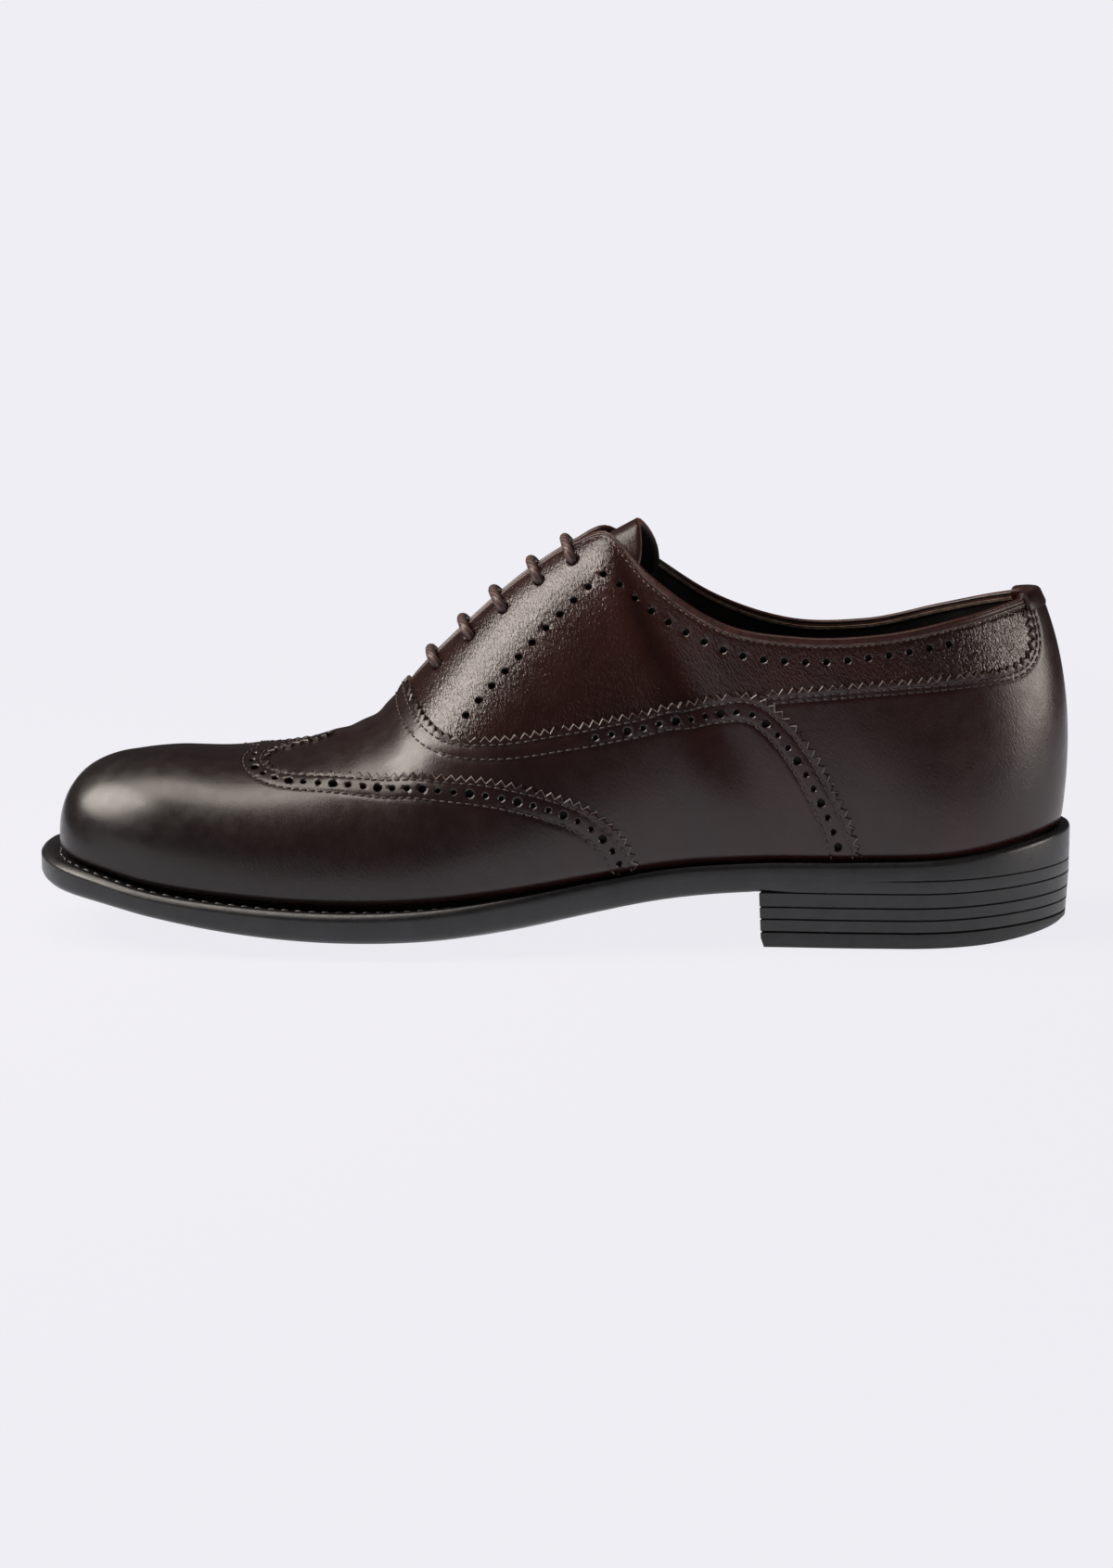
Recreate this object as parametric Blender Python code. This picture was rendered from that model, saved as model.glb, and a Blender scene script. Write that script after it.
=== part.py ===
"""Right-foot full-brogue lace-up dress shoe: welted sole, stacked heel, hollow upper and overlays.

The toe points along -X, the inner side of the foot is -Y and the floor is z = 0. Sizes are in
millimetres and become metres where the meshes are made.
"""
import math

import bmesh
import bpy
import numpy as np
from mathutils import Vector
from mathutils.geometry import delaunay_2d_cdt

MM = 0.001

# Driving dimensions
LENGTH = 300.0
TOE_ROUND = 36.0
TOE_POWER = 2.5
HEEL_ROUND = 52.0
HEEL_POWER = 2.1
HEEL_HEIGHT = 16.4
TOP_LIFT_HEIGHT = 4.8
LIFT_SEAMS = (8.5, 12.1)
SEAM_DEPTH = 0.5
SEAM_HALF_WIDTH = 0.45
BREAST_INNER = 57.6
BREAST_OUTER = 62.6
BREAST_HOLLOW = 4.0
BEVEL_START = 118.0
BEVEL_RISE = 2.4
BEVEL_SHOULDER = 0.6
HEEL_TAPER = 0.8
FOOT_ROUND = 0.8
TREAD_ROUND = ((1.4, 0.0), (0.5, 0.7), (0.0, 1.8))
OUTSOLE_TOP_ROUND = 0.4
WELT_LIP = ((0.4, 0.0), (0.0, 0.2), (0.0, 0.7), (0.8, 1.0))
INSOLE_ROUND = 0.8
TREAD_FLAT_SHARE = 0.3
TREAD_WEAR = 0.35
WALL = 2.0
GAP = 0.3
INSOLE_RISE = 2.5
INSOLE_CLEARANCE = 0.9
LAYER_GAP = 0.45
OVERLAY_LIFT = 0.45
THROAT_LIFT = 0.7
TAB_INSIDE_LIFT = 0.7
OVERLAY_SEAM = 0.7
UNDER_FACING = 1.1
LACE_CLEARANCE = 0.4
LACE_RADIUS = 1.25
TONGUE_THICKNESS = 2.2

# Mesh density
COLUMNS = 40
COLUMN_EASE = 0.3
ROWS = 9
HEEL_COLUMNS = 22
BREAST_COLUMNS = 8
TREAD_SPACING = 12.0
PATTERN_SPACING = 6.0
PATTERN_CLEAR = 2.6
LACE_RUN_POINTS = 9
LACE_BAR_POINTS = 3
END_SHARE = 0.02


def table(names, rows):
    """Columns of a table by name."""
    return dict(zip(names.split(), np.array(rows, float).T))


# One row for each station of the sole: its axis and half breadth in plan, height of the tread on
# the axis, rise of the tread's edge, depth of the whole edge, the welt's share of that depth, and
# the margin from the sole's edge in to the upper's foot.
SOLE = table("x axis half bottom camber edge welt margin", (
    (-150, -7.8, 30.0, 17.0, 0.8, 7.0, 2.4, 8.3),
    (-134, -8.2, 31.3, 12.5, 2.6, 6.5, 2.4, 7.7),
    (-115, -6.8, 38.0, 7.6, 3.6, 6.4, 2.4, 7.5),
    (-90, -4.6, 44.8, 2.8, 4.6, 7.4, 2.6, 7.5),
    (-62, -1.6, 50.0, 0.0, 5.4, 8.0, 2.8, 7.2),
    (-36, 0.25, 51.6, 0.0, 6.1, 8.2, 3.0, 6.2),
    (-12, 1.1, 48.8, 2.6, 6.2, 8.3, 3.2, 4.6),
    (10, 1.3, 43.5, 7.0, 5.0, 8.4, 3.6, 3.4),
    (32, 0.3, 39.0, 12.0, 3.1, 8.4, 3.9, 3.0),
    (57, -1.9, 36.3, 16.4, 0.3, 8.4, 4.3, 3.0),
    (85, -4.4, 35.6, 16.4, 0.3, 8.9, 5.0, 3.1),
    (115, -5.7, 34.6, 16.4, 0.3, 10.0, 6.2, 3.2),
    (135, -5.7, 31.5, 16.4, 0.3, 12.3, 8.5, 3.4),
    (150, -5.7, 28.0, 16.4, 0.3, 14.3, 10.5, 3.6),
))

# One row for each section of the upper. A section starts on the sole at the station "foot" and ends
# on the ridge, facing or collar at the station "top", half a breadth off the axis, at the heights
# "inner" and "outer" of the foot's two sides. A negative half breadth is a closed ridge. It leaves
# the sole at "lean" degrees outward of vertical and meets the top "crown" degrees below level, and
# "rise" and "reach" are its fullness there.
UPPER = table("foot top axis half inner outer lean crown rise reach", (
    (-150, -126.0, -7.6, -2.0, 48.5, 48.5, 5, 17, 0.50, 0.42),
    (-138, -120.5, -7.2, -2.0, 49.7, 49.7, 5, 12, 0.49, 0.43),
    (-115, -108.0, -6.4, -2.0, 50.5, 50.5, 5, 7, 0.46, 0.46),
    (-88, -86.0, -5.0, -2.0, 50.3, 50.3, 5, 6, 0.46, 0.46),
    (-63, -63.5, -3.6, -2.0, 55.0, 55.0, 6, 8, 0.45, 0.45),
    (-46, -50.5, -3.0, -2.0, 61.2, 61.2, 7, 10, 0.44, 0.37),
    (-30, -40.0, -2.8, 1.0, 74.4, 74.4, 8, 11, 0.42, 0.30),
    (-10, -25.0, -2.6, 3.0, 89.2, 89.2, 9, 14, 0.40, 0.27),
    (10, -9.0, -2.6, 3.2, 103.0, 103.0, 10, 16, 0.38, 0.25),
    (27, 5.5, -2.8, 3.6, 112.4, 112.4, 11, 20, 0.36, 0.25),
    (38, 14.0, -3.0, 6.0, 116.0, 116.0, 10, 34, 0.35, 0.28),
    (52, 26.0, -3.4, 17.0, 105.0, 107.0, 9, 70, 0.34, 0.33),
    (72, 46.0, -4.0, 26.0, 92.6, 93.2, 8, 80, 0.33, 0.33),
    (92, 68.0, -4.6, 29.6, 89.0, 85.2, 6, 84, 0.33, 0.33),
    (112, 91.0, -5.2, 29.0, 89.6, 84.9, 5, 84, 0.33, 0.33),
    (130, 113.0, -5.6, 24.0, 93.3, 90.3, 5, 82, 0.33, 0.33),
    (142, 127.6, -5.7, 14.6, 96.2, 95.0, 6, 75, 0.33, 0.35),
    (150, 138.6, -5.7, 0.0, 98.2, 98.2, 7, 66, 0.33, 0.36),
))


def hermite(keys, values, at, level_ends=False):
    """Smooth curve through a table's rows, read at the given places."""
    slopes = np.gradient(values, keys)
    if level_ends:
        slopes[0] = slopes[-1] = 0.0
    at = np.clip(at, keys[0], keys[-1])
    low = np.clip(np.searchsorted(keys, at, side="right") - 1, 0, len(keys) - 2)
    step = keys[low + 1] - keys[low]
    s = (at - keys[low]) / step
    start = (1 + 2 * s) * (1 - s) ** 2 * values[low] + s * (1 - s) ** 2 * step * slopes[low]
    end = s * s * (3 - 2 * s) * values[low + 1] + s * s * (s - 1) * step * slopes[low + 1]
    return start + end


def station(t):
    """Place along the shoe for a share t of the way round from toe (0) to heel (1)."""
    return -0.5 * LENGTH * np.cos(math.pi * np.asarray(t, float))


def share(x):
    """The inverse of station."""
    return np.arccos(np.clip(-2.0 * np.asarray(x, float) / LENGTH, -1.0, 1.0)) / math.pi


def sole(name, x):
    return hermite(SOLE["x"], SOLE[name], x)


UPPER_KEYS = share(UPPER["foot"])


def upper(name, t):
    return hermite(UPPER_KEYS, UPPER[name], t, level_ends=name != "half")


def plan(t, side):
    """Point of the sole's outline in plan."""
    x = station(t)
    half_length = 0.5 * LENGTH
    toe = np.clip((TOE_ROUND - half_length - x) / TOE_ROUND, 0.0, 1.0)
    heel = np.clip((x - half_length + HEEL_ROUND) / HEEL_ROUND, 0.0, 1.0)
    taper = (1 - toe ** TOE_POWER) ** (1 / TOE_POWER) * (1 - heel ** HEEL_POWER) ** (1 / HEEL_POWER)
    return np.stack([x, sole("axis", x) + side * sole("half", x) * taper], axis=-1)


def plan_normal(t, side):
    """Outward direction of the outline in plan."""
    step = 1e-3
    t = np.asarray(t, float)
    run = plan(np.minimum(t + step, 1.0), side) - plan(np.maximum(t - step, 0.0), side)
    out = np.stack([-side * run[..., 1], side * run[..., 0]], axis=-1)
    out[t < 1e-6] = (-1.0, 0.0)
    out[t > 1 - 1e-6] = (1.0, 0.0)
    return out / np.linalg.norm(out, axis=-1, keepdims=True)


def outline(t, side, inset):
    return plan(t, side) - plan_normal(t, side) * np.asarray(inset, float)[..., None]


def seat_height(x):
    """Top of the welt, on which the upper stands."""
    return sole("bottom", x) + sole("camber", x) - TREAD_WEAR + sole("edge", x)


def tread_height(x, y):
    """Underside of the outsole: cambered across, worn flat where it meets the floor."""
    across = np.abs(y - sole("axis", x)) / sole("half", x)
    bow = np.clip((across - TREAD_FLAT_SHARE) / (1 - TREAD_FLAT_SHARE), 0.0, 1.0) ** 2
    height = sole("bottom", x) + sole("camber", x) * bow - TREAD_WEAR
    return np.where(x > BREAST_INNER - 2.0, HEEL_HEIGHT, np.maximum(height, 0.0))


def skin(t, side, v):
    """Point of the upper's outer face: v runs from the sole (0) to the ridge or collar (1)."""
    t, side, v = np.broadcast_arrays(np.asarray(t, float), np.asarray(side, float), np.asarray(v, float))
    out = plan_normal(t, side)
    margin = sole("margin", station(t))
    foot_xy = plan(t, side) - out * margin[..., None]
    foot = np.concatenate([foot_xy, seat_height(foot_xy[..., :1]) + GAP], axis=-1)
    height = np.where(side < 0, upper("inner", t), upper("outer", t))
    half = np.maximum(upper("half", t), 0.0)
    top = np.stack([upper("top", t), upper("axis", t) + side * half, height], axis=-1)
    out = np.concatenate([out, np.zeros_like(out[..., :1])], axis=-1)
    up = np.array([0.0, 0.0, 1.0])
    chord = np.linalg.norm(top - foot, axis=-1)
    lean = np.radians(upper("lean", t))[..., None]
    crown = np.radians(upper("crown", t))[..., None]
    low = foot + (upper("rise", t) * chord)[..., None] * (np.cos(lean) * up + np.sin(lean) * out)
    high = top + (upper("reach", t) * chord)[..., None] * (np.cos(crown) * out - np.sin(crown) * up)
    v = v[..., None]
    return (1 - v) ** 3 * foot + 3 * v * (1 - v) ** 2 * low + 3 * v * v * (1 - v) * high + v ** 3 * top


def skin_normal(t, side, v):
    """Outward direction of the upper's outer face."""
    step = 1e-3
    t, side, v = np.broadcast_arrays(np.asarray(t, float), np.asarray(side, float), np.asarray(v, float))
    near = np.clip(t, END_SHARE, 1.0 - END_SHARE)
    along = skin(near + step, side, v) - skin(near - step, side, v)
    around = skin(near, side, np.minimum(v + step, 1.0)) - skin(near, side, np.maximum(v - step, 0.0))
    normal = np.cross(along, around) * -side[..., None]
    closed = (v > 1 - 1e-6) & (upper("half", t) < 0.02)
    normal[closed | (t < 1e-6) | (t > 1 - 1e-6), 1] = 0.0
    return normal / np.linalg.norm(normal, axis=-1, keepdims=True)


def lifted(t, side, v, lift):
    """Point at a distance off the upper's outer face."""
    return skin(t, side, v) + skin_normal(t, side, v) * np.asarray(lift, float)[..., None]


def strip_faces(rings, count, closed, first=0):
    """Quads between neighbouring rings of points."""
    faces = []
    for ring in range(rings - 1):
        for i in range(count if closed else count - 1):
            j = (i + 1) % count
            a = first + ring * count
            faces.append((a + i, a + j, a + count + j, a + count + i))
    return faces


def loft(rings, closed=True):
    """Patch through rings of points."""
    rings = np.asarray(rings, float)
    return rings.reshape(-1, 3), strip_faces(len(rings), rings.shape[1], closed)


def fill(boundary, inside=()):
    """Triangles over a closed outline in the plane, with points inside it."""
    points = [Vector(p) for p in boundary] + [Vector(p) for p in inside]
    flat, _, faces, *_ = delaunay_2d_cdt(points, [], [list(range(len(boundary)))], 1, 1e-6)
    return np.array(flat), faces


def inside_points(boundary, xs, ys, clear):
    """Grid points inside an outline, clear of its edge."""
    boundary = np.asarray(boundary, float)
    grid = np.array([(x, y) for x in xs for y in ys])
    ends = np.roll(boundary, -1, axis=0)
    rise = ends[:, 1] - boundary[:, 1]
    rise = np.where(np.abs(rise) < 1e-9, 1e-9, rise)
    spans = (boundary[:, 1] > grid[:, 1:]) != (ends[:, 1] > grid[:, 1:])
    cross = boundary[:, 0] + (grid[:, 1:] - boundary[:, 1]) * (ends[:, 0] - boundary[:, 0]) / rise
    odd = (spans & (grid[:, :1] < cross)).sum(axis=1) % 2 == 1
    run = ends - boundary
    reach = ((grid[:, None] - boundary) * run).sum(axis=-1) / np.maximum((run ** 2).sum(axis=-1), 1e-12)
    near = boundary + np.clip(reach, 0, 1)[..., None] * run
    far_enough = np.linalg.norm(grid[:, None] - near, axis=-1).min(axis=1) > clear
    return grid[odd & far_enough]


def material(name, colour, roughness):
    mat = bpy.data.materials.new(name)
    mat.use_nodes = True
    shader = mat.node_tree.nodes["Principled BSDF"]
    shader.inputs["Base Color"].default_value = (*colour, 1.0)
    shader.inputs["Roughness"].default_value = roughness
    shader.inputs["Metallic"].default_value = 0.0
    return mat


def solid(name, patches, mat, parent):
    """Object from patches in millimetres, welded where their edges meet."""
    bm = bmesh.new()
    for points, faces in patches:
        verts = [bm.verts.new(Vector(p) * MM) for p in points]
        for face in faces:
            bm.faces.new([verts[i] for i in face])
    bmesh.ops.remove_doubles(bm, verts=bm.verts, dist=2e-6)
    bmesh.ops.recalc_face_normals(bm, faces=bm.faces)
    mesh = bpy.data.meshes.new(name)
    bm.to_mesh(mesh)
    bm.free()
    mesh.shade_smooth()
    mesh.set_sharp_from_angle(angle=math.radians(35))
    mesh.materials.append(mat)
    obj = bpy.data.objects.new(name, mesh)
    obj.parent = parent
    bpy.context.scene.collection.objects.link(obj)
    return obj


def thicken(obj, thickness, outward):
    """Give a skin its thickness, on the outer or the inner side of its faces."""
    modifier = obj.modifiers.new("thickness", "SOLIDIFY")
    modifier.thickness = thickness * MM
    modifier.offset = 1.0 if outward else -1.0
    modifier.use_even_offset = True
    return obj


# Edges of the overlays, drawn on the inner side and mirrored to the outer side. A row is a station
# of the sole and a girth share: 0 on the sole, 1 on the ridge or collar.
WING_EDGE = (
    (-64, 1.0), (-72, 0.975), (-79, 0.95), (-83.3, 0.905), (-84, 0.84), (-82.5, 0.766), (-78, 0.709),
    (-70.4, 0.672), (-59.4, 0.62), (-42.6, 0.515), (-28.5, 0.418), (-15.6, 0.353), (3, 0.247),
    (10.9, 0.197), (16.9, 0.14), (20.5, 0.084), (23.6, 0.016),
)
VAMP_EDGE = (
    (-33.5, 1.0), (-33.6, 0.897), (-32.4, 0.759), (-29.9, 0.647), (-26.3, 0.568), (-22.2, 0.526), (-13.4, 0.478),
    (4.9, 0.426), (16.2, 0.408), (29.8, 0.406), (41, 0.45), (56, 0.592), (68, 0.683), (75.2, 0.727),
    (78.6, 0.722), (81.2, 0.684), (83.6, 0.609), (84.7, 0.503), (84.8, 0.32), (85.2, 0.145), (86.1, 0.016),
)
COUNTER_EDGE = (
    (79.8, 0.75), (89, 0.776), (101, 0.797), (114.6, 0.796), (125.3, 0.774), (134.8, 0.755), (140.4, 0.75),
    (143.2, 0.765), (145, 0.795), (145.9, 0.84), (146.1, 0.89), (146, 0.94),
)
VAMP_CORNER_ROW = 13
HEM = 0.016
TAB_FOOT = 0.962
TAB_STATION = 146.6
EYELET_STATIONS = (-23.7, -11.6, 0.0, 13.0, 24.3)
EYELET_GIRTH = 0.905
LACE_RUN_LIFT = -0.2
TONGUE_START = -40.0
TONGUE_END = 31.0
TONGUE_GIRTH = 0.74
TONGUE_POINTS = 5
TONGUE_SECTIONS = 11
TONGUE_EDGE_DROP = 0.8
TONGUE_TIP = (13.0, 7.0)
TONGUE_SKEW = 9.0
TONGUE_TIP_STEPS = (0.5, 1.0)

# Thickness of each overlay's own leather, with what it overlaps
WING_THICKNESS = 2.2
VAMP_THICKNESS = 1.3
COUNTER_THICKNESS = 0.9
TAB_THICKNESS = 0.8

# Girth and length of the upper, which keep distances true where overlays are laid out flat
FLAT_LENGTH = 330.0
FLAT_GIRTH = 75.0


def column_shares():
    """Shares from toe to heel whose sections lie about evenly apart."""
    even = np.linspace(0.0, 1.0, COLUMNS + 1)
    return even + COLUMN_EASE * np.sin(2 * math.pi * even) / (2 * math.pi)


COLUMN_T = column_shares()
ROUND_T = np.concatenate([COLUMN_T, COLUMN_T[-2:0:-1]])
ROUND_SIDE = np.concatenate([-np.ones(COLUMNS + 1), np.ones(COLUMNS - 1)])


def level_ring(inset, height):
    """Ring of points round the sole at an inset from its edge, at a height worked out in plan."""
    xy = outline(ROUND_T, ROUND_SIDE, np.broadcast_to(inset, ROUND_T.shape))
    return np.column_stack([xy, height(xy[:, 0], xy[:, 1])])


def cap(ring, height, spacing):
    """Face across a ring, with points inside it at the height worked out in plan."""
    xs = np.arange(-0.5 * LENGTH, 0.5 * LENGTH, spacing)
    ys = np.arange(-60.0, 60.0, spacing)
    flat, faces = fill(ring[:, :2], inside_points(ring[:, :2], xs, ys, 0.4 * spacing))
    return np.column_stack([flat, height(flat[:, 0], flat[:, 1])]), faces


def welt_underside(x, y):
    return seat_height(x) - sole("welt", x)


def outsole_top(x, y):
    return welt_underside(x, y) - LAYER_GAP


def insole_top(x, y):
    return seat_height(x) + INSOLE_RISE


def make_outsole(mat, parent):
    rings = []
    for inset, rise in TREAD_ROUND:
        rings.append(level_ring(inset, lambda x, y, rise=rise: tread_height(x, y) + rise))
    rings.append(level_ring(0.0, lambda x, y: outsole_top(x, y) - OUTSOLE_TOP_ROUND))
    rings.append(level_ring(OUTSOLE_TOP_ROUND, outsole_top))
    patches = [loft(rings), cap(rings[0], tread_height, TREAD_SPACING)]
    patches.append(cap(rings[-1], outsole_top, TREAD_SPACING))
    return solid("outsole", patches, mat, parent)


def make_welt(mat, parent):
    """Strip round the sole, from its rounded outer lip in to the inner face of the upper."""
    def height(share_of_depth):
        return lambda x, y: welt_underside(x, y) + share_of_depth * sole("welt", x)

    inner = sole("margin", station(ROUND_T)) + WALL + INSOLE_CLEARANCE - GAP
    rings = [level_ring(inset, height(depth)) for inset, depth in WELT_LIP]
    rings += [level_ring(inner, height(1.0)), level_ring(inner, height(0.0))]
    return solid("welt", [loft(rings + rings[:1])], mat, parent)


def make_insole(mat, parent):
    inset = sole("margin", station(ROUND_T)) + WALL + INSOLE_CLEARANCE
    low = level_ring(inset, welt_underside)
    high = level_ring(inset, lambda x, y: insole_top(x, y) - INSOLE_ROUND)
    rim = level_ring(inset + INSOLE_ROUND, insole_top)
    patches = [loft([low, high, rim])]
    patches.append(cap(low, welt_underside, TREAD_SPACING))
    patches.append(cap(rim, insole_top, 2 * TREAD_SPACING))
    return solid("insole", patches, mat, parent)


def heel_ring(inset, z):
    """Outline of the heel block at one level: the sole's edge, closed by a hollow breast."""
    inner = np.linspace(share(BREAST_INNER + inset), 1.0, HEEL_COLUMNS)
    outer = np.linspace(1.0, share(BREAST_OUTER + inset), HEEL_COLUMNS)[1:]
    sides = np.concatenate([outline(inner, -1.0, np.full(len(inner), inset)),
                            outline(outer, 1.0, np.full(len(outer), inset))])
    s = np.linspace(0.0, 1.0, BREAST_COLUMNS + 1)[1:-1, None]
    breast = sides[-1] + (sides[0] - sides[-1]) * s
    breast[:, 0] += BREAST_HOLLOW * 4 * s[:, 0] * (1 - s[:, 0])
    xy = np.concatenate([sides, breast])
    return np.column_stack([xy, np.full(len(xy), z)])


def make_heel_piece(name, rows, mat, parent, bevel=0.0):
    """Heel piece from rows of height and inset, its first ring bevelled up at the back."""
    rings = [heel_ring(inset + HEEL_TAPER * (1 - z / HEEL_HEIGHT), z) for z, inset in rows]

    def first_height(x, y):
        past = np.clip((x - BEVEL_START) / (0.5 * LENGTH - BEVEL_START), 0.0, 1.0)
        return rows[0][0] + bevel * past ** 2

    rings[0][:, 2] = first_height(rings[0][:, 0], rings[0][:, 1])
    top = rings[-1]
    flat, faces = fill(top[:, :2])
    lid = (np.column_stack([flat, np.full(len(flat), rows[-1][0])]), faces)
    return solid(name, [loft(rings), cap(rings[0], first_height, TREAD_SPACING), lid], mat, parent)


def make_heel(mat, parent):
    rows = [(TOP_LIFT_HEIGHT, SEAM_DEPTH), (TOP_LIFT_HEIGHT + SEAM_HALF_WIDTH, 0.0)]
    for seam in LIFT_SEAMS:
        rows += [(seam - SEAM_HALF_WIDTH, 0.0), (seam, SEAM_DEPTH), (seam + SEAM_HALF_WIDTH, 0.0)]
    top = HEEL_HEIGHT - GAP
    rows += [(top - SEAM_HALF_WIDTH, 0.0), (top, SEAM_DEPTH)]
    return make_heel_piece("heel", rows, mat, parent)


def make_top_lift(mat, parent):
    top = TOP_LIFT_HEIGHT - GAP
    rows = [(0.0, FOOT_ROUND), (BEVEL_RISE + BEVEL_SHOULDER, 0.0)]
    rows += [(top - SEAM_HALF_WIDTH, 0.0), (top, SEAM_DEPTH)]
    return make_heel_piece("top_lift", rows, mat, parent, BEVEL_RISE)


def make_upper(mat, parent):
    """Hollow upper: its outer face with a wall inside, open at the collar, facing and foot."""
    v = np.linspace(0.0, 1.0, ROWS + 1)[None, :]
    patches = [loft(skin(COLUMN_T[:, None], side, v), closed=False) for side in (-1.0, 1.0)]
    return thicken(solid("upper", patches, mat, parent), WALL, outward=False)


def flat_line(rows):
    """A pattern edge laid out flat, smooth through its rows, on the inner side."""
    rows = np.array(rows, float)
    flat = np.column_stack([share(rows[:, 0]) * FLAT_LENGTH, (rows[:, 1] - 1.0) * FLAT_GIRTH])
    way = np.concatenate([[0.0], np.cumsum(np.linalg.norm(np.diff(flat, axis=0), axis=1))])
    at = np.linspace(0.0, way[-1], int(way[-1] / PATTERN_SPACING) + 2)
    return np.column_stack([hermite(way, flat[:, 0], at), hermite(way, flat[:, 1], at)])


def moved_aside(line, distance):
    """The line moved sideways by a distance in the flat layout."""
    run = np.gradient(line, axis=0)
    normal = np.column_stack([-run[:, 1], run[:, 0]]) / np.linalg.norm(run, axis=1, keepdims=True)
    return line + distance * normal


def mirrored(line):
    return line * np.array([1.0, -1.0])


def girth_line(start, end, girth):
    """Points along one girth share, between two flat stations, on the inner side."""
    columns = COLUMN_T * FLAT_LENGTH
    low, high = min(start, end), max(start, end)
    inside = columns[(columns > low + 2.0) & (columns < high - 2.0)]
    inside = inside if start < end else inside[::-1]
    return np.column_stack([inside, np.full(len(inside), (girth - 1.0) * FLAT_GIRTH)])


def row_line(at, low, high):
    """Points up or down a section, between two girth shares, on the inner side."""
    rows = np.linspace(0.0, 1.0, ROWS + 1)
    bottom, top = min(low, high), max(low, high)
    inside = rows[(rows > bottom + 0.02) & (rows < top - 0.02)]
    inside = np.concatenate([[bottom], inside, [top]])
    inside = inside if low < high else inside[::-1]
    return np.column_stack([np.full(len(inside), at), (inside - 1.0) * FLAT_GIRTH])


def overlay_patch(boundary, lift):
    """Skin over a flat outline, lifted off the upper's own face."""
    rows = np.linspace(-FLAT_GIRTH, FLAT_GIRTH, 2 * ROWS + 1)
    flat, faces = fill(boundary, inside_points(boundary, COLUMN_T * FLAT_LENGTH, rows, PATTERN_CLEAR))
    side = np.where(flat[:, 1] > 0, 1.0, -1.0)
    girth = 1.0 - np.abs(flat[:, 1]) / FLAT_GIRTH
    return lifted(flat[:, 0] / FLAT_LENGTH, side, girth, lift), faces


def make_wing_cap(mat, parent):
    edge = flat_line(WING_EDGE)
    hem = girth_line(edge[-1, 0], 0.0, HEM)
    front = row_line(0.0, HEM, 1.0)
    inner = np.concatenate([edge, hem, front])
    boundary = np.concatenate([inner, mirrored(inner[1:-1])[::-1]])
    skin_piece = solid("wing_cap", [overlay_patch(boundary, OVERLAY_LIFT)], mat, parent)
    return thicken(skin_piece, WING_THICKNESS, outward=True)


def make_side_panel(mat, parent):
    front = moved_aside(flat_line(WING_EDGE), OVERLAY_SEAM)
    front[0, 1] = 0.0
    back = flat_line(VAMP_EDGE)
    inner = np.concatenate([front, girth_line(front[-1, 0], back[-1, 0], HEM), back[::-1]])
    boundary = np.concatenate([inner, mirrored(inner[1:-1])[::-1]])
    skin_piece = solid("side_panel", [overlay_patch(boundary, THROAT_LIFT)], mat, parent)
    return thicken(skin_piece, VAMP_THICKNESS, outward=True)


def make_counter(mat, parent):
    front = moved_aside(flat_line(VAMP_EDGE[VAMP_CORNER_ROW:]), OVERLAY_SEAM)[::-1]
    top = flat_line(COUNTER_EDGE)
    strip_top = COUNTER_EDGE[-1][1]
    under_tab = girth_line(top[-1, 0], FLAT_LENGTH, strip_top)
    back = row_line(FLAT_LENGTH, strip_top, HEM)
    inner = np.concatenate([front, top, under_tab, back, girth_line(FLAT_LENGTH, front[0, 0], HEM)])
    patches = [overlay_patch(inner, OVERLAY_LIFT), overlay_patch(mirrored(inner)[::-1], OVERLAY_LIFT)]
    skin_piece = solid("counter", patches, mat, parent)
    return thicken(skin_piece, COUNTER_THICKNESS, outward=True)


def make_back_tab(mat, parent):
    """Strip folded over the collar at the back seam."""
    inside = -(WALL + TAB_INSIDE_LIFT)
    profile = ((TAB_FOOT, GAP, 0.0), (1.0, GAP, GAP), (1.0, inside, GAP), (TAB_FOOT, inside, 0.0))
    t = COLUMN_T[COLUMN_T > share(TAB_STATION)]
    rings = []
    for girth, lift, rise in profile:
        half = lifted(t, -1.0, girth, lift)
        other = lifted(t[-2::-1], 1.0, girth, lift)
        rings.append(np.concatenate([half, other]) + np.array([0.0, 0.0, rise]))
    skin_piece = solid("back_tab", [loft(rings, closed=False)], mat, parent)
    return thicken(skin_piece, TAB_THICKNESS, outward=True)


def make_tongue(mat, parent):
    """Leather tongue under the facings, standing a little above them."""
    girths = np.linspace(TONGUE_GIRTH, 1.0, TONGUE_POINTS)
    under = -(WALL + UNDER_FACING) - TONGUE_EDGE_DROP * (1.0 - girths) / (1.0 - TONGUE_GIRTH)
    rings = []
    for t in np.linspace(share(TONGUE_START), share(TONGUE_END), TONGUE_SECTIONS):
        inner = lifted(np.full(TONGUE_POINTS, t), -1.0, girths, under)
        outer = lifted(np.full(TONGUE_POINTS, t), 1.0, girths, under)
        middle = 0.5 * (inner[-1:] + outer[-1:])
        rings.append(np.concatenate([inner[:-1], middle, outer[-2::-1]]))
    across = np.linspace(-1.0, 1.0, len(rings[-1]))[:, None]
    last = rings[-1]
    back = TONGUE_TIP[0] * (1.0 - across ** 4) + TONGUE_SKEW * np.maximum(across, 0.0)
    up = TONGUE_TIP[1] * (1.0 - across ** 2) ** 2
    tip = np.concatenate([back, np.zeros_like(back), up], axis=1)
    for reach in TONGUE_TIP_STEPS:
        rings.append(last + tip * reach)
    skin_piece = solid("tongue", [loft(rings, closed=False)], mat, parent)
    return thicken(skin_piece, TONGUE_THICKNESS, outward=False)


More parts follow.
